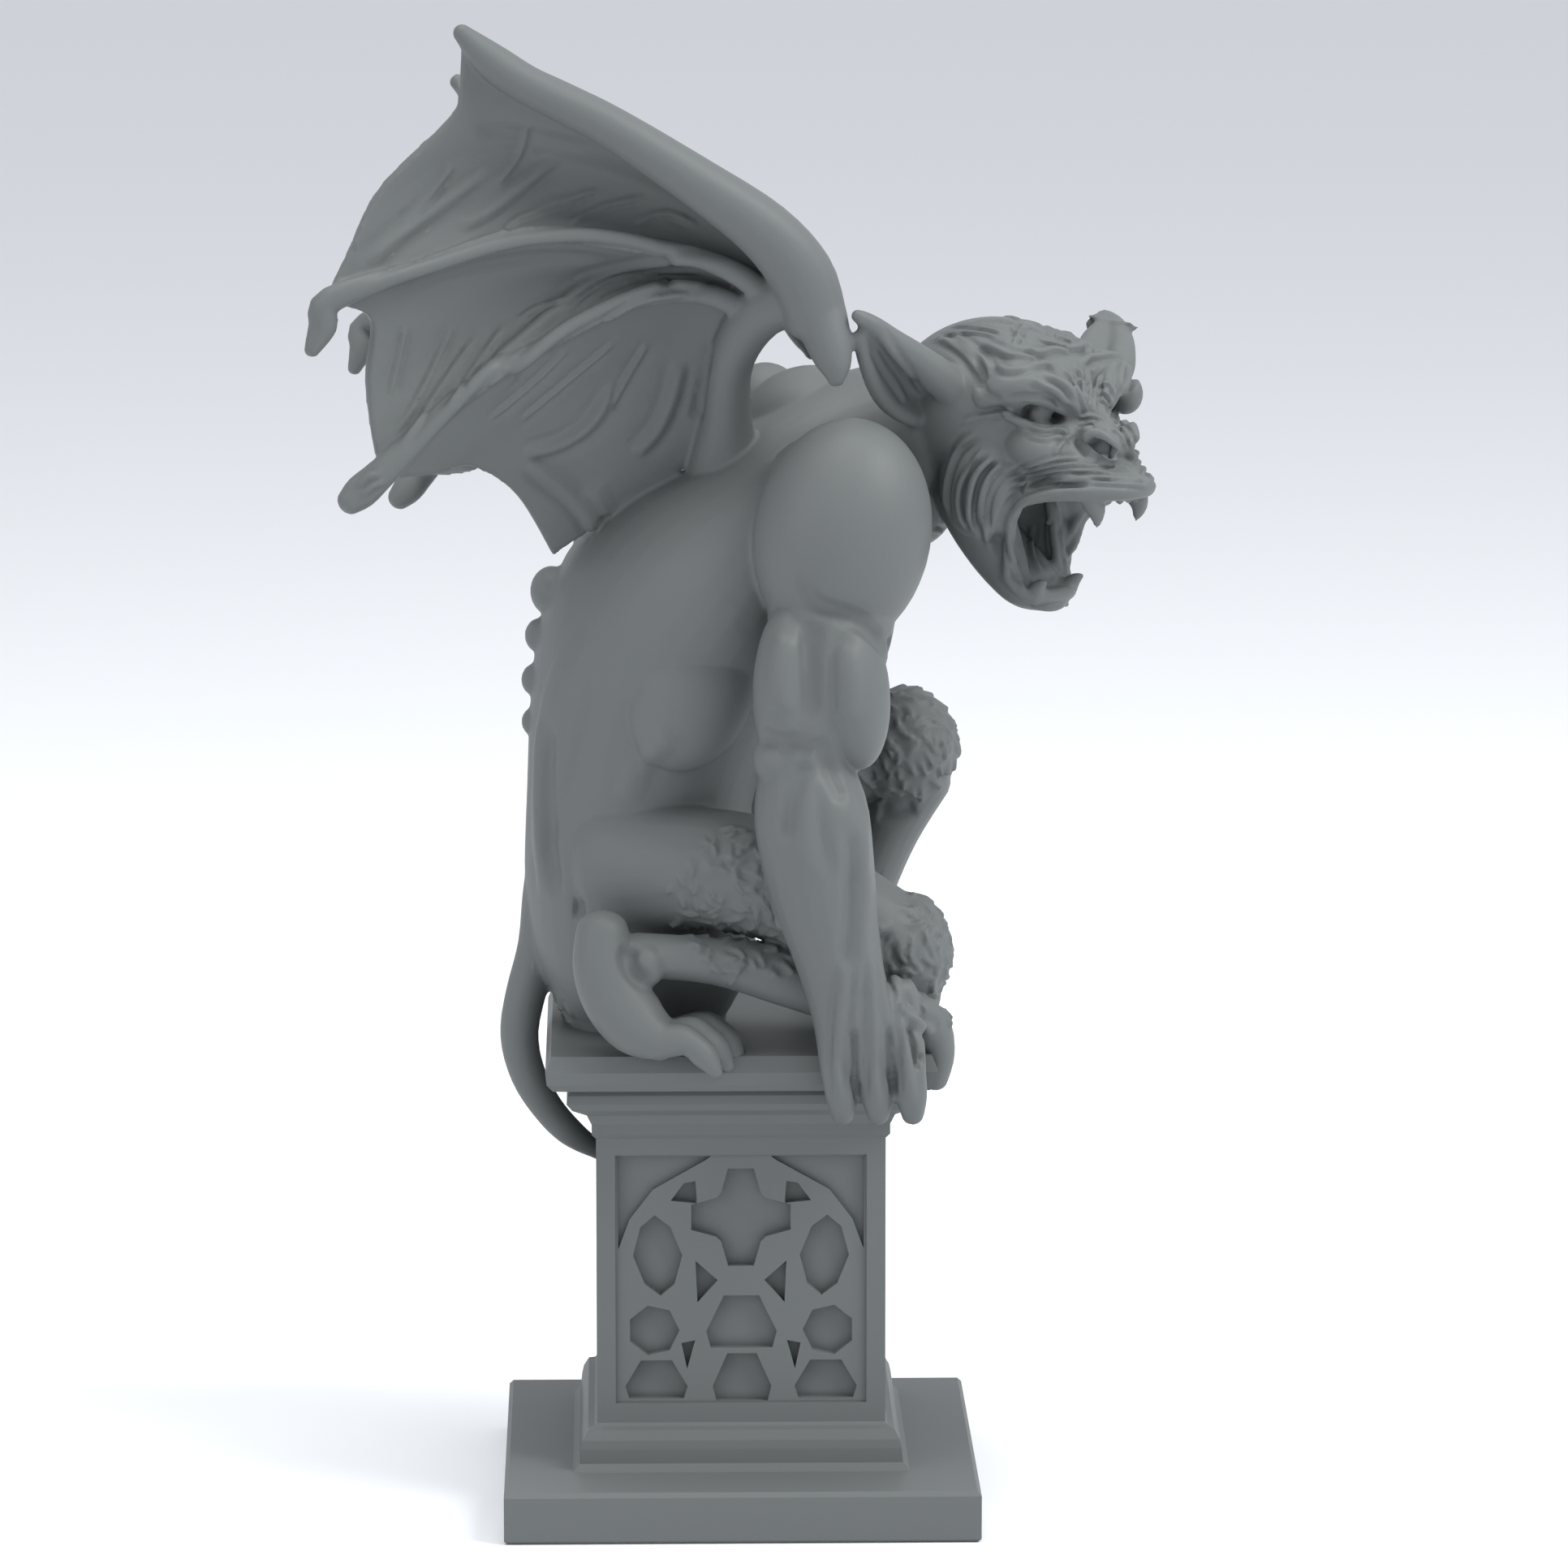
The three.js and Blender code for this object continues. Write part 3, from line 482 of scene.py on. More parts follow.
def face(clay):
    """Brows, eyes, nose, lips, teeth and tongue."""
    clay.roll([(18, 0, 5, 4, 4.4), (21, 0, 0.6, 3.8, 4), (24.4, 0, -3, 3.6, 4.4)], sides=16)
    clay.ball((25, 0, -4.6), (4.4, 5.4, 3.8))
    clay.ball((17.8, 16, 4.2), (3.9, 3.6, 4.4))
    clay.roll([(-2, 0, -26, 3, 5), (3, 0, -30, 3.2, 5.4), (8, 0, -34, 2.8, 4.6)], sides=20)
    lip = (
        (6.8, -9.6, -33), (7.6, -10.4, -28), (9, -11.6, -22.6), (11.4, -13.4, -18), (15.4, -14.2, -15.2),
        (21.8, -12.6, -13.6), (27.5, -9.2, -13.2), (32, -4.6, -13), (33.2, 0, -12.8),
    )
    chin = ((6.8, -9.6, -33), (9.4, -7.4, -36.2), (12, -4, -37), (12.8, 0, -37.2))
    thickness = {lip: (1.3, 1.3, 1.3, 1.4, 1.5, 1.7, 2, 2.2, 2.3), chin: (1.3, 1.5, 1.7, 1.8)}
    for line, thick in thickness.items():
        near = [(*place, size, size) for place, size in zip(line, thick)]
        far = [(m, -l, up, size, size) for m, l, up, size, _ in near]
        clay.roll(near + far[-2::-1], across=(0, 0, 1), sides=14)
    for side in (-1, 1):
        clay.roll([
            (7, 18.6 * side, 6, 2.6, 2.6), (12.4, 17.4 * side, 8, 3, 3.2), (16.4, 14.2 * side, 8.4, 3.4, 3.6),
            (18.8, 9.6 * side, 6.8, 3.3, 3.6), (20.4, 4.6 * side, 4, 2.8, 3.2), (21, 1.4 * side, 1.6, 2, 2.6),
        ], across=(0, 0, 1), sides=18)
        clay.ball((15.2, 9.4 * side, 2.2), (2.4, 2.6, 2.4))
        clay.roll([
            (11.4, 16.4 * side, 2.4, 1, 1), (15.4, 13.8 * side, 0.2, 1.2, 1.1), (18.2, 10.8 * side, -0.8, 1.2, 1.1),
            (20, 7.4 * side, -0.6, 1.1, 1),
        ], across=(0, 0, 1), sides=10)
        clay.roll([
            (22.6, 7.2 * side, -2.4, 1.3, 1.3), (25.6, 5.8 * side, -1.4, 1.4, 1.4), (28, 4.2 * side, -3.2, 1.4, 1.4),
            (29, 3.4 * side, -6, 1.3, 1.3), (27.6, 5 * side, -8, 1.3, 1.3), (24.6, 7 * side, -6.8, 1.3, 1.3),
            (22.8, 7.6 * side, -4.6, 1.2, 1.2),
        ], across=(0, 0, 1), sides=12)
        clay.roll([
            (26.4, 7 * side, -12.6, 3, 3), (27.6, 7.4 * side, -15.6, 2.5, 2.5), (28.4, 7.2 * side, -18, 1.7, 1.7),
            (28, 6.6 * side, -20.6, 0.5, 0.5),
        ], sides=14)
        clay.roll([
            (10.8, 5.4 * side, -37, 2.1, 2.1), (12, 5.8 * side, -35, 1.7, 1.7), (13.8, 6.2 * side, -33.6, 0.8, 0.8),
        ], sides=14)
        clay.roll([(5, 6.6 * side, -19, 1, 1), (7.4, 6 * side, -28, 1.1, 1.1), (8.4, 5 * side, -34, 1, 1)], sides=10)
    for step in (-1.5, -0.5, 0.5, 1.5):
        clay.ball((30.4 - abs(step), 2.9 * step, -14.6), (1.3, 1.3, 1.8))


def head(clay):
    """The whole head, in its place on the neck."""
    core = Clay()
    skull_and_jaws(core)
    bone = fused("bone", core, 0.8)
    cut(bone, mouth_cutter())
    cut(bone, sockets())
    lump = bmesh.new()
    lump.from_mesh(bone.data)
    clay.press(lump, HEAD_PLACE)
    bpy.data.objects.remove(bone)
    parts = Clay()
    face(parts)
    clay.press(parts.mesh, HEAD_PLACE)
    ear(clay, RIGHT_EAR)
    ear(clay, LEFT_EAR)


# %% [markdown]
# The wings
#
# A wing is a thin skin stretched over ribs, like an umbrella. Each rib is a row of places from
# the wing's wrist to its trailing edge, and the skin is a grid laid over all the ribs and then
# made solid. The fingers are rolls along two of the ribs, with a claw past the end. The left
# wing is a mirrored copy that is a little smaller and leans further out.

# %% Wings
RIBS = (
    ((15, -33, 259), (6, -37, 275), (-10, -39.5, 287), (-26, -40, 297.5), (-44, -40, 306), (-57, -40, 314)),
    ((13, -32, 260), (5, -35, 273), (-10, -36.5, 284), (-27, -37.5, 293.5), (-44, -38.5, 300), (-57.4, -40, 303)),
    ((12, -31, 260.5), (4, -32, 271.5), (-11, -33, 281.5), (-29, -34.5, 290), (-47, -37, 295), (-59.4, -40, 297)),
    ((11, -30, 261), (3, -29, 270), (-12, -29, 279), (-32, -31, 286), (-54, -36, 289), (-74, -42, 282)),
    ((8, -30, 260), (0, -29, 267.6), (-16, -29.6, 274.4), (-38, -33, 278.4), (-60, -38.6, 277), (-80, -44, 270.6)),
    ((7, -29, 259), (-3, -31.6, 266), (-20, -34, 271), (-44, -38.4, 273.5), (-66, -43, 267), (-84, -45.4, 261)),
    ((6, -28, 258.6), (-5, -28, 263.6), (-21, -30, 267), (-43, -34, 266.6), (-62, -38.4, 260.6), (-75.6, -43, 256.4)),
    ((5, -27, 258), (-6, -25.6, 261.5), (-21, -27, 264), (-41, -31, 260), (-59, -36, 251), (-76.4, -43, 242)),
    ((3, -27, 256), (-9, -28.6, 260.5), (-24, -32, 258.5), (-42, -37, 250), (-58, -41, 240), (-73.5, -44.4, 225.5)),
    ((2, -26, 254.6), (-9, -25, 255.6), (-22, -27, 252), (-38, -31, 243), (-52, -34.6, 234.4), (-64, -37, 223.4)),
    ((1.5, -25, 253), (-9, -22, 250), (-20, -22, 244.5), (-34, -25, 237), (-46, -28, 230), (-56, -31, 224.5)),
    ((-1, -23, 249), (-6, -19, 241), (-14, -17.6, 233.5), (-25, -18, 226), (-36, -19, 221), (-46.5, -22, 217.4)),
    ((-1.5, -21, 244), (-2, -16, 232), (-9, -14, 224), (-18, -13, 217), (-28, -12, 210.5), (-39, -11, 203)),
)
SECOND_FINGER = 5
THIRD_FINGER = 8
MEMBRANE = 2.9


def wing(clay, place):
    """One wing, as the right one, in the given place."""
    sheet(clay, RIBS, MEMBRANE, place)
    clay.roll([
        (15.4, -34, 256, 6.6, 6.4), (12.4, -35.5, 265, 6.8, 6.4), (4.6, -37.5, 274.4, 6.2, 6.2),
        (-9, -40, 284.4, 5.2, 5.4), (-26, -41, 295.4, 4.4, 4.6), (-36, -41, 300.6, 4.2, 4.4),
        (-44, -41, 304.6, 4, 4.1), (-51, -40.4, 309.4, 3.7, 3.7), (-57.2, -40, 315.2, 1.8, 1.9),
    ], place=place)
    clay.roll([
        (-3, -13, 222, 8, 7), (-2.6, -17, 234, 5.2, 5.2), (-1.6, -22, 246, 4.8, 5), (4, -28, 256, 5.6, 5.4),
        (12, -32, 260, 6, 5.8),
    ], place=place)
    clay.roll([
        (16.5, -35, 256, 5.6, 5.4), (18.4, -37, 250, 4.7, 4.6), (19.4, -38.4, 246, 3.4, 3.4),
        (19.6, -39, 243.4, 1.8, 1.8),
    ], place=place)
    second = [(x, y - 1, z, thick, thick * 0.9) for (x, y, z), thick in zip(RIBS[SECOND_FINGER], (3, 2.4, 2, 1.9, 2, 2.8))]
    clay.roll(second + [(-85.6, -46.2, 255.6, 3, 2.8), (-88, -47, 250.6, 1.6, 1.6)], sides=16, place=place)
    third = [(x, y - 1, z, thick, thick * 0.9) for (x, y, z), thick in zip(RIBS[THIRD_FINGER], (2.8, 2.2, 1.9, 1.9, 2.2, 3.2))]
    clay.roll(third + [(-78, -45.4, 221.4, 3.6, 3.3), (-80.6, -46, 219.2, 2.8, 2.8)], sides=16, place=place)


LEFT_WING_ROOT = Vector((0, 14, 225))
LEFT_WING_PLACE = (
    Matrix.Translation(LEFT_WING_ROOT) @ Matrix.Rotation(math.radians(-5.5), 4, "Y")
    @ Matrix.Rotation(math.radians(-9), 4, "X") @ Matrix.Scale(0.92, 4)
    @ Matrix.Translation(-LEFT_WING_ROOT) @ FLIP
)

# %% [markdown]
# One skin
#
# All the clay of the figure is now fused. The voxel remesh leaves small steps and sharp seams
# between the lumps, so the skin is rubbed smooth a few times, the way a wet finger would.

# %% Fuse the figure
figure_clay = Clay()
trunk(figure_clay)
arm(figure_clay, Matrix())
arm(figure_clay, FLIP)
legs(figure_clay)
tail(figure_clay)
head(figure_clay)
wing(figure_clay, Matrix())
wing(figure_clay, LEFT_WING_PLACE)
figure = fused("gargoyle_cast", figure_clay, FINE_VOXEL)
print("fused skin:", len(figure.data.polygons), "faces")


class Skin:
    """A mesh whose points are pushed and smoothed as arrays, in millimetres."""

    def __init__(self, piece):
        self.piece = piece
        mesh = piece.data
        self.points = np.empty(len(mesh.vertices) * 3)
        mesh.vertices.foreach_get("co", self.points)
        self.points = self.points.reshape(-1, 3)
        edges = np.empty(len(mesh.edges) * 2, int)
        mesh.edges.foreach_get("vertices", edges)
        self.edges = edges.reshape(-1, 2)
        self.valence = np.bincount(self.edges.ravel(), minlength=len(self.points))

    def neighbours_mean(self, values):
        """The mean of each point's neighbours."""
        first, second = self.edges.T
        count = len(self.points)
        mean = np.empty_like(values)
        for axis in range(values.shape[1]):
            column = values[:, axis]
            total = np.bincount(first, column[second], count) + np.bincount(second, column[first], count)
            mean[:, axis] = total / np.maximum(self.valence, 1)
        return mean

    def rub(self, times, mask=1.0, strength=0.6):
        """Smooths the skin without shrinking it much: each pass in is followed by one out."""
        weight = np.broadcast_to(np.asarray(mask, float).reshape(-1, 1), (len(self.points), 1))
        for _ in range(times):
            for push in (strength, -strength * 1.04):
                self.points += weight * push * (self.neighbours_mean(self.points) - self.points)

    def store(self):
        """Writes the points back into the mesh."""
        self.piece.data.vertices.foreach_set("co", self.points.ravel())
        self.piece.data.update()

    def normals(self):
        """The direction out of the skin at each point."""
        self.store()
        normals = np.empty(len(self.points) * 3)
        self.piece.data.vertex_normals.foreach_get("vector", normals)
        return normals.reshape(-1, 3)


skin = Skin(figure)
skin.rub(6)
skin.store()
print("figure box in mm:", skin.points.min(axis=0).round(1), skin.points.max(axis=0).round(1))

# %% [markdown]
# Carving by sight
#
# The fine carving is done as on a real model: a wooden tool is drawn over the clay and leaves a
# fold or a groove. A stroke here is a few places read from the photograph. Each place is followed
# along the camera's sight line to the skin, and the skin near that line is pushed out or in.
# Strokes are mirrored onto the hidden side by looking up the nearest skin there.

# %% The carving tool
PITCH = 4
MIDDLE_GAP = 1.5


def near_line(places, line):
    """How far places are from a line of points, where along it, and the nearest part's number."""
    best = np.full(len(places), np.inf)
    along = np.zeros(len(places))
    for k in range(len(line) - 1):
        start, step = line[k], line[k + 1] - line[k]
        part = np.clip(((places - start) @ step) / max(step @ step, 1e-9), 0, 1)
        gap = np.linalg.norm(places - start - part[:, None] * step, axis=1)
        closer = gap < best
        best[closer] = gap[closer]
        along[closer] = k + part[closer]
    return best, along / max(len(line) - 1, 1)


class Tool:
    """Draws strokes over a skin. All strokes between two calls of press_in act together."""

    def __init__(self, skin):
        self.skin = skin
        self.refresh()

    def refresh(self):
        """Looks at the skin anew."""
        self.normals = self.skin.normals()
        self.tree = BVHTree.FromObject(self.skin.piece, bpy.context.evaluated_depsgraph_get())
        self.push = np.zeros(len(self.skin.points))

    def seen(self, path):
        """Where a line through places in the photograph lies on the skin."""
        line, facing = [], []
        for across, down in smooth_rows(path, PITCH):
            place, normal, _, _ = self.tree.ray_cast(CAMERA_PLACE, sight_line(across, down))
            if place is not None and (not line or (place - line[-1]).length < 8):
                line.append(place)
                facing.append(normal)
        return line, facing

    def mirrored(self, line, frame_of_part, flip):
        """The near side's part of a line again on the other side, on the nearest skin there."""
        places, facing = [], []
        for place in line:
            inside = frame_of_part.inverted() @ place
            if inside.y < -MIDDLE_GAP:
                found, normal, _, _ = self.tree.find_nearest(frame_of_part @ flip @ inside)
                places.append(found)
                facing.append(normal)
        return places, facing

    def draw(self, line, facing, half_width, height, flank=0.0, taper=0.2):
        """Adds one stroke: a ridge if height is positive, with lowered flanks if asked."""
        if len(line) < 2:
            return
        line = np.array([list(place) for place in line])
        facing = np.array([list(normal) for normal in facing])
        reach = half_width * (2 if flank else 1)
        low, high = line.min(axis=0) - reach, line.max(axis=0) + reach
        points = self.skin.points
        near = np.flatnonzero(((points > low) & (points < high)).all(axis=1))
        gap, along = near_line(points[near], line)
        aligned = (self.normals[near] * facing[np.rint(along * (len(line) - 1)).astype(int)]).sum(axis=1)
        keep = (gap < reach) & (aligned > 0.1)
        near, gap, along = near[keep], gap[keep] / half_width, along[keep]
        amount = np.clip(1 - gap ** 2, 0, None) ** 2
        if flank:
            amount -= flank * np.clip(1 - ((gap - 1.15) / 0.8) ** 2, 0, None) ** 2
        ends = np.clip(np.minimum(along, 1 - along) / taper, 0, 1) if taper else 1
        self.push[near] += height * amount * ends * ends * (3 - 2 * ends) if taper else height * amount

    def press_in(self):
        """Carries out the strokes drawn so far."""
        self.skin.points += self.normals * self.push[:, None]
        self.refresh()


HEAD_SIDES = ((HEAD_PLACE, FLIP),)
BODY_SIDES = ((Matrix(), FLIP),)
WING_SIDES = ((Matrix(), LEFT_WING_PLACE),)


def carve(tool, strokes, half_width, height, flank=0.0, sides=(), taper=0.2):
    """Draws a group of like strokes by sight, and again on each mirrored side."""
    for path in strokes:
        line, facing = tool.seen(path)
        tool.draw(line, facing, half_width, height, flank, taper)
        for frame_of_part, flip in sides:
            tool.draw(*tool.mirrored(line, frame_of_part, flip), half_width, height, flank, taper)


# %% [markdown]
# Finer clay where it counts
#
# The face needs finer clay than the back. The skin of the head is divided once more, so its
# wrinkles and teeth stay crisp. At the end a Decimate modifier thins the flat places again.

# %% Divide the skin of the head
HEAD_REACH = 44


def divide(piece, centre, reach):
    """Halves the edges of a piece's faces near a place."""
    mesh = bmesh.new()
    mesh.from_mesh(piece.data)
    near = [face for face in mesh.faces if (face.calc_center_median() - centre).length < reach]
    edges = list({edge for face in near for edge in face.edges})
    bmesh.ops.subdivide_edges(mesh, edges=edges, cuts=1, use_grid_fill=True, smooth=0)
    mesh.to_mesh(piece.data)
    mesh.free()


divide(figure, HEAD_CENTRE + Vector((2, 0, -8)), HEAD_REACH)
skin = Skin(figure)
tool = Tool(skin)
print("divided skin:", len(figure.data.polygons), "faces")

# %% [markdown]
# The face
#
# The snarl is in the folds: rings round the corner of the mouth, a knot over the nose, and
# furrows that sweep back over the forehead. The deep creases come first, then the raised
# folds, and the fine wrinkles last, because each new stroke follows the skin as it then is.

# %% Carve the face
NOSTRILS = (((1346, 543), (1354, 547), (1364, 554), (1373, 563)),)
NOSTRIL_RINGS = (
    ((1341, 552), (1337, 542), (1343, 534), (1354, 534), (1365, 541), (1374, 551), (1379, 561)),
    ((1339, 546), (1343, 556), (1353, 561), (1366, 565), (1376, 569)),
)
DEEP_CREASES = (
    ((1326, 528), (1328, 541), (1334, 553), (1342, 561)),
    ((1199, 450), (1207, 466), (1212, 480), (1220, 489), (1236, 492)),
    ((1236, 492), (1258, 489), (1285, 490), (1305, 497), (1318, 508), (1322, 522)),
    ((1352, 470), (1353, 485), (1356, 500), (1362, 516)),
    ((1205, 560), (1193, 580), (1188, 605), (1187, 632), (1196, 652)),
    ((1232, 568), (1213, 584), (1203, 605), (1201, 632), (1204, 655)),
    ((1250, 574), (1228, 590), (1216, 610), (1212, 635), (1213, 655)),
    ((1345, 597), (1305, 599), (1270, 605), (1246, 618), (1233, 640), (1230, 668), (1236, 700)),
)
MOUTH_FOLDS = (
    ((1208, 532), (1187, 545), (1175, 565), (1167, 590), (1165, 615), (1170, 640)),
    ((1213, 552), (1196, 575), (1182, 600), (1181, 630), (1192, 656)),
    ((1226, 562), (1204, 582), (1195, 608), (1194, 635), (1200, 660)),
    ((1243, 568), (1222, 583), (1210, 605), (1206, 630), (1208, 655)),
    ((1262, 570), (1240, 580), (1223, 597), (1215, 620), (1214, 650), (1219, 680)),
    ((1345, 590), (1310, 591), (1280, 597), (1254, 608), (1239, 625), (1227, 652), (1216, 684)),
)
FOREHEAD_FOLDS = (
    ((1142, 416), (1166, 420), (1186, 432), (1199, 446), (1208, 462), (1214, 478)),
    ((1172, 412), (1190, 424), (1205, 438), (1218, 452), (1222, 466)),
    ((1206, 422), (1226, 429), (1244, 437), (1264, 440), (1280, 443)),
    ((1222, 446), (1240, 456), (1262, 454), (1285, 448), (1300, 452)),
    ((1262, 428), (1280, 434), (1300, 430), (1320, 436)),
    ((1278, 462), (1298, 466), (1316, 478), (1324, 494)),
    ((1268, 468), (1288, 474), (1306, 486), (1314, 500)),
)
FINE_FURROWS = (
    ((1310, 452), (1324, 472), (1335, 496), (1339, 510)),
    ((1324, 450), (1334, 472), (1340, 500)),
    ((1341, 454), (1343, 476), (1344, 504)),
    ((1356, 460), (1350, 480), (1348, 504)),
    ((1140, 411), (1162, 404), (1190, 402), (1216, 405), (1238, 410)),
    ((1150, 417), (1180, 410), (1210, 411), (1232, 417)),
    ((1196, 397), (1232, 395), (1266, 403), (1290, 412)),
    ((1246, 402), (1256, 414), (1262, 426)),
    ((1262, 400), (1254, 412), (1250, 424)),
    ((1280, 408), (1300, 414), (1322, 420)),
    ((1270, 416), (1296, 422), (1320, 428)),
    ((1328, 515), (1346, 513), (1364, 519)),
    ((1324, 523), (1346, 520), (1368, 525)),
    ((1330, 530), (1348, 526), (1366, 530)),
    ((1182, 525), (1202, 515), (1226, 510), (1248, 507)),
    ((1268, 524), (1286, 530), (1304, 528), (1316, 534)),
    ((1262, 534), (1284, 541), (1304, 538), (1320, 542)),
    ((1322, 532), (1312, 542), (1303, 554), (1300, 564)),
    ((1368, 526), (1382, 538), (1388, 554)),
    ((1373, 522), (1388, 534), (1395, 552)),
)
LIP_LINES = (
    ((1236, 606), (1256, 592), (1282, 584), (1312, 580), (1345, 579), (1376, 582)),
    ((1240, 594), (1262, 583), (1290, 575), (1320, 572), (1350, 574), (1378, 576)),
    ((1252, 582), (1272, 573), (1300, 566), (1330, 564)),
    ((1336, 587), (1366, 588), (1392, 589), (1412, 592)),
    ((1340, 594), (1370, 596), (1396, 597), (1414, 599)),
    ((1350, 569), (1372, 573), (1392, 576)),
    ((1245, 600), (1270, 591), (1300, 586), (1330, 585)),
)
LIP_RIM = (
    ((1345, 603), (1310, 605), (1282, 611), (1259, 620), (1245, 640), (1243, 665), (1249, 692), (1258, 716), (1264, 736)),
)
THROAT_LINES = (
    ((1272, 645), (1270, 665), (1274, 688), (1284, 702)),
    ((1291, 638), (1291, 662), (1294, 688)),
    ((1308, 648), (1309, 672), (1314, 700)),
    ((1150, 652), (1165, 658), (1182, 662)),
    ((1152, 664), (1168, 668)),
    ((1268, 745), (1290, 749), (1312, 746)),
)
EAR_LINES = (
    ((1082, 408), (1100, 436), (1122, 462), (1140, 488)),
    ((1072, 420), (1088, 450), (1106, 476), (1118, 498)),
)
carve(tool, DEEP_CREASES, 1.5, -0.9, sides=HEAD_SIDES)
carve(tool, NOSTRIL_RINGS, 1.5, 1.1, sides=HEAD_SIDES)
tool.press_in()
carve(tool, MOUTH_FOLDS, 1.1, 0.8, flank=0.5, sides=HEAD_SIDES)
carve(tool, FOREHEAD_FOLDS, 1.3, 0.75, flank=0.5, sides=HEAD_SIDES)
carve(tool, LIP_RIM, 1.1, 0.7, flank=0.4, sides=HEAD_SIDES)
carve(tool, NOSTRILS, 1.5, -2.6, sides=HEAD_SIDES, taper=0.1)
tool.press_in()
carve(tool, FINE_FURROWS, 0.8, 0.45, flank=0.6, sides=HEAD_SIDES)
carve(tool, LIP_LINES, 0.7, 0.4, flank=0.7, sides=HEAD_SIDES)
carve(tool, THROAT_LINES, 0.9, 0.5, flank=0.5, sides=HEAD_SIDES)
carve(tool, EAR_LINES, 1.3, 0.5, flank=0.5, sides=HEAD_SIDES)
tool.press_in()
skin.rub(1)
skin.store()
print("face strokes carved")

# %% [markdown]
# Muscles, wings and hands
#
# The same tool, used wider and softer, draws the edges of the muscles, the folds of the wing's
# skin and the tendons that run to the fingers.

# %% Carve the body and the wings
MUSCLE_EDGES = (
    ((985, 690), (992, 722), (1004, 742), (1030, 754), (1060, 768), (1082, 790), (1092, 812)),
    ((1004, 762), (1000, 800), (1001, 850), (1006, 895)),
    ((936, 905), (960, 914), (986, 918), (1002, 930)),
    ((1008, 905), (1018, 935), (1030, 965), (1042, 990)),
    ((996, 935), (984, 965), (974, 1000), (972, 1040)),
    ((1046, 1010), (1050, 1070), (1048, 1140), (1042, 1200)),
    ((705, 1118), (745, 1126), (795, 1124), (850, 1146)),
    ((676, 880), (674, 960), (677, 1040), (688, 1110)),
    ((776, 1166), (772, 1184), (784, 1202), (812, 1212)),
    ((1094, 800), (1104, 778), (1122, 750), (1132, 722)),
    ((1080, 998), (1104, 1004), (1130, 994)),
    ((1086, 1150), (1094, 1172), (1102, 1200)),
)
MUSCLE_SWELLS = (
    ((970, 780), (958, 830), (962, 880)),
    ((1040, 790), (1046, 840), (1040, 890)),
    ((1000, 945), (992, 985), (990, 1030), (1000, 1090)),
    ((1062, 985), (1066, 1060), (1062, 1150), (1058, 1230)),
    ((668, 880), (664, 960), (666, 1040), (672, 1110)),
    ((745, 640), (735, 615), (728, 600)),
    ((830, 900), (790, 940), (770, 990)),
)
TENDONS = (
    ((1042, 1180), (1036, 1240), (1032, 1300), (1034, 1360)),
    ((1072, 1170), (1076, 1240), (1078, 1300), (1079, 1365)),
    ((1096, 1180), (1108, 1240), (1118, 1300), (1122, 1362)),
    ((1104, 1236), (1130, 1258), (1150, 1276)),
)
FINGER_GAPS = (
    ((1052, 1262), (1053, 1310), (1055, 1350), (1057, 1384)),
    ((1096, 1256), (1098, 1310), (1101, 1345), (1104, 1374)),
    ((1116, 1262), (1126, 1290), (1132, 1320)),
    ((1134, 1303), (1146, 1303), (1158, 1301)),
)
WING_CREASES = (
    ((580, 160), (640, 165), (700, 178), (790, 205), (860, 255), (920, 330), (962, 400)),
    ((470, 372), (540, 342), (620, 322), (700, 316), (780, 326)),
    ((500, 590), (560, 535), (620, 478), (680, 432), (740, 396), (800, 385)),
    ((878, 420), (868, 470), (858, 520)),
)
WING_FOLDS = (
    ((870, 322), (800, 300), (740, 290), (690, 291), (620, 302), (540, 326), (480, 346), (435, 372)),
    ((905, 332), (850, 322), (790, 327), (730, 347), (690, 376), (640, 420), (600, 456), (540, 522), (490, 586)),
    ((885, 350), (820, 350), (760, 371), (700, 402), (655, 440), (610, 486)),
    ((610, 200), (570, 232), (530, 262), (480, 300), (450, 330)),
    ((690, 190), (640, 230), (600, 262), (560, 282)),
    ((840, 440), (828, 490), (810, 530), (780, 562)),
    ((640, 566), (690, 600), (722, 632), (738, 660)),
    ((560, 574), (602, 588), (640, 628), (672, 676)),
    ((760, 470), (730, 520), (690, 548), (640, 560)),
)
WING_WRINKLES = (
    ((866, 336), (800, 336), (744, 356), (704, 386)),
    ((850, 362), (790, 372), (740, 400)),
    ((700, 276), (740, 256), (800, 241)),
    ((780, 276), (820, 262), (862, 280)),
    ((640, 272), (690, 250), (740, 232)),
    ((610, 290), (650, 262), (700, 238)),
    ((590, 410), (560, 452), (526, 504), (486, 560)),
    ((622, 400), (586, 452), (548, 506)),
    ((640, 395), (660, 380), (700, 366)),
    ((560, 396), (540, 440), (510, 500), (478, 545)),
    ((500, 400), (492, 440), (480, 490)),
    ((700, 430), (660, 470), (600, 520)),
    ((760, 420), (700, 470), (640, 520)),
    ((800, 420), (770, 470), (750, 510)),
    ((560, 200), (530, 240), (490, 280)),
    ((650, 150), (640, 190), (610, 230)),
    ((440, 600), (452, 588), (466, 584)),
    ((446, 612), (458, 600), (474, 594)),
)
carve(tool, MUSCLE_EDGES, 3.2, -1.3, sides=BODY_SIDES)
carve(tool, MUSCLE_SWELLS, 4, 0.9, sides=BODY_SIDES)
carve(tool, WING_CREASES, 2.6, -0.8, sides=WING_SIDES)
tool.press_in()
carve(tool, TENDONS, 1.8, 0.9, flank=0.4, sides=BODY_SIDES)
carve(tool, FINGER_GAPS, 1.3, -1.6, sides=BODY_SIDES)
carve(tool, WING_FOLDS, 2.2, 1.0, flank=0.35, sides=WING_SIDES)
tool.press_in()
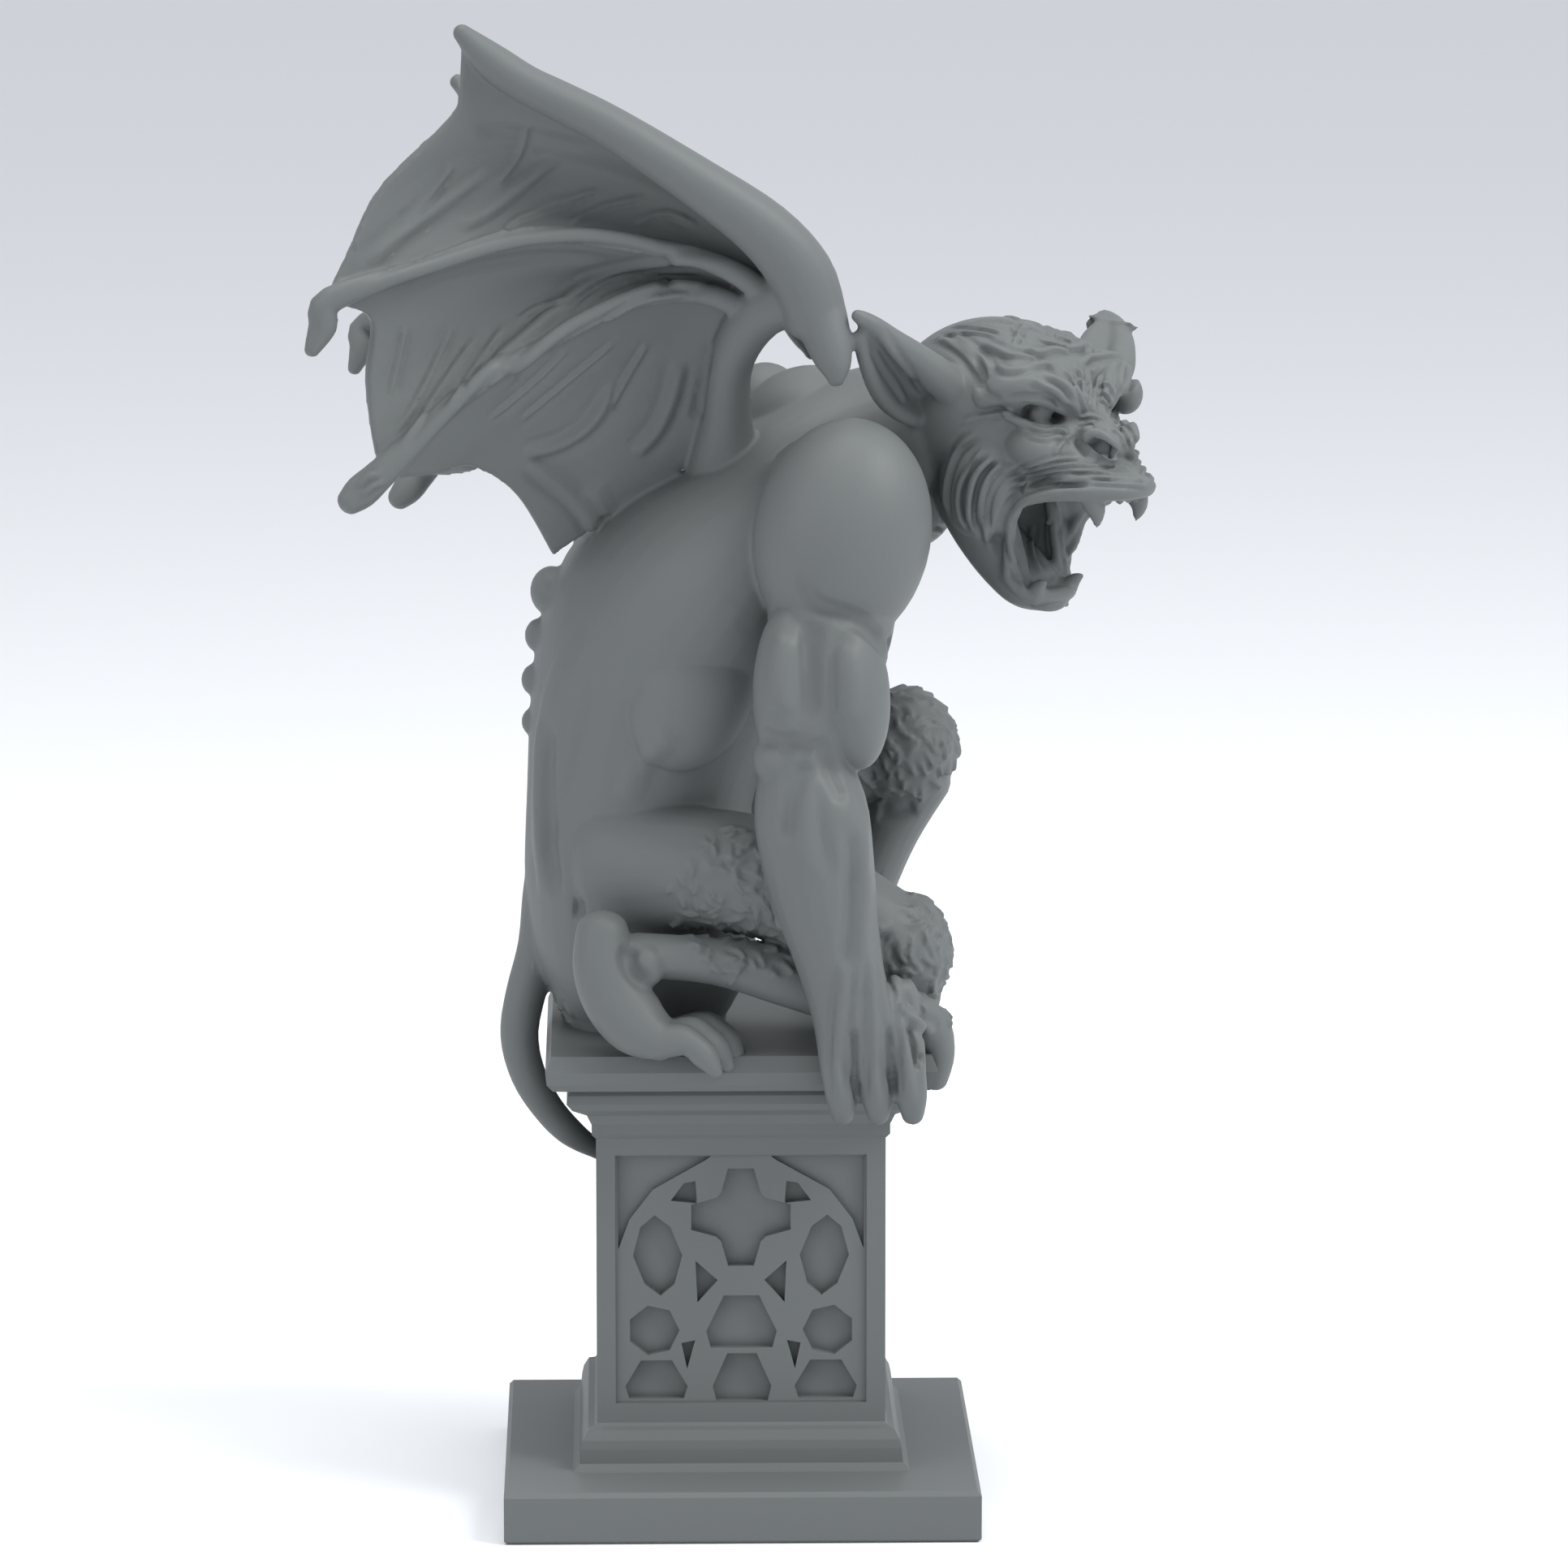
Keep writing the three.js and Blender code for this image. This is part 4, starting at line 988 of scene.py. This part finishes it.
carve(tool, WING_WRINKLES, 1.1, 0.5, flank=0.6, sides=WING_SIDES)
tool.press_in()
print("body and wing strokes carved")

# %% [markdown]
# Fur
#
# Flame-shaped locks cover the thighs and the knees. Each lock is a short curling ridge that rises
# from its root to a blunt tip. Locks start from scattered places on the skin, run down it, and
# the higher of two that overlap wins, like roof tiles. The scatter has a fixed seed.

# %% Lay the fur
FUR_SEED = 7
LOCK_STEPS = 7
FUR_PATCHES = (
    ((-1, -35, 134), (13.5, 14, 16), (0.45, 0, -0.9), 2.3),
    ((38, -28, 121), (11, 15, 15), (0.5, 0, -0.86), 2.3),
    ((34, 24, 160), (14, 15, 14), (0.5, 0, -0.86), 2.3),
    ((2, 33, 142), (19, 12, 16), (0.5, 0, -0.86), 2.5),
    ((-37, 0, 120), (5, 16, 16), (0, 0, -1), 2.6),
    ((6, -30, 160), (6, 10, 7), (0.3, 0, -0.95), 2.6),
)
dice = np.random.default_rng(FUR_SEED)


def lock_path(tree, root, facing, flow, length, curl):
    """A curling line that runs down the skin from a root."""
    places, normals = [root], [facing]
    heading = Vector(flow)
    for _ in range(LOCK_STEPS):
        up = normals[-1]
        heading = (Matrix.Rotation(curl, 3, up) @ heading)
        heading = (heading - up * heading.dot(up)).normalized()
        found, normal, _, _ = tree.find_nearest(places[-1] + heading * length / LOCK_STEPS)
        places.append(found)
        normals.append(normal)
    return places, normals


def lay_locks(tool, centre, halves, flow, spacing):
    """Covers the skin inside an egg-shaped region with locks."""
    points = tool.skin.points
    inside = np.flatnonzero((((points - centre) / halves) ** 2).sum(axis=1) < 1)
    roots = []
    for number in dice.permutation(inside):
        place = points[number]
        if all(np.linalg.norm(place - points[other]) > spacing for other in roots[-400:]):
            roots.append(number)
    relief = np.zeros(len(points))
    for number in roots:
        root, facing = Vector(points[number]), Vector(tool.normals[number])
        tilt = dice.normal(0, 0.35)
        start = Matrix.Rotation(tilt, 3, "Y") @ Vector(flow)
        length, curl = dice.uniform(3.4, 5.6), dice.normal(0, 0.16)
        line, normals = lock_path(tool.tree, root, facing, start, length, curl)
        lock_relief(tool, line, normals, dice.uniform(0.75, 1.05), dice.uniform(0.6, 0.95), relief)
    tool.push += relief
    return len(roots)


def lock_relief(tool, line, normals, half_width, height, relief):
    """Raises one lock in the relief: round across, highest near its pointed tip."""
    line = np.array([list(place) for place in line])
    normals = np.array([list(normal) for normal in normals])
    low, high = line.min(axis=0) - half_width, line.max(axis=0) + half_width
    points = tool.skin.points
    near = np.flatnonzero(((points > low) & (points < high)).all(axis=1))
    gap, along = near_line(points[near], line)
    aligned = (tool.normals[near] * normals[np.rint(along * (len(line) - 1)).astype(int)]).sum(axis=1)
    width = half_width * (1 - 0.65 * along ** 2)
    keep = (gap < width) & (aligned > 0.1)
    near, gap, along = near[keep], (gap / width)[keep], along[keep]
    rise = np.clip(along / 0.75, 0, 1) * np.clip((1 - along) / 0.12, 0, 1)
    relief[near] = np.maximum(relief[near], height * rise * np.sqrt(1 - gap ** 2))


locks = sum(lay_locks(tool, *patch) for patch in FUR_PATCHES)
tool.press_in()
print("locks of fur:", locks)

# %% Bring it to metres
skin.rub(1, strength=0.4)
skin.store()
TRIANGLES = 196000
thin = figure.modifiers.new("thin", "DECIMATE")
thin.ratio = TRIANGLES / (2 * len(figure.data.polygons))
thin.use_collapse_triangulate = True
settle(figure)
print("figure triangles:", len(figure.data.polygons))
figure.data.transform(Matrix.Scale(MM, 4))
for polygon in figure.data.polygons:
    polygon.use_smooth = True
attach(figure, "root")
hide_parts("gargoyle")
figure.data.materials.clear()
figure.data.materials.append(plain_material("stone", (0.12, 0.13, 0.13), 0.5))
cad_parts["pedestal"].material_slots[0].material = figure.data.materials[0]
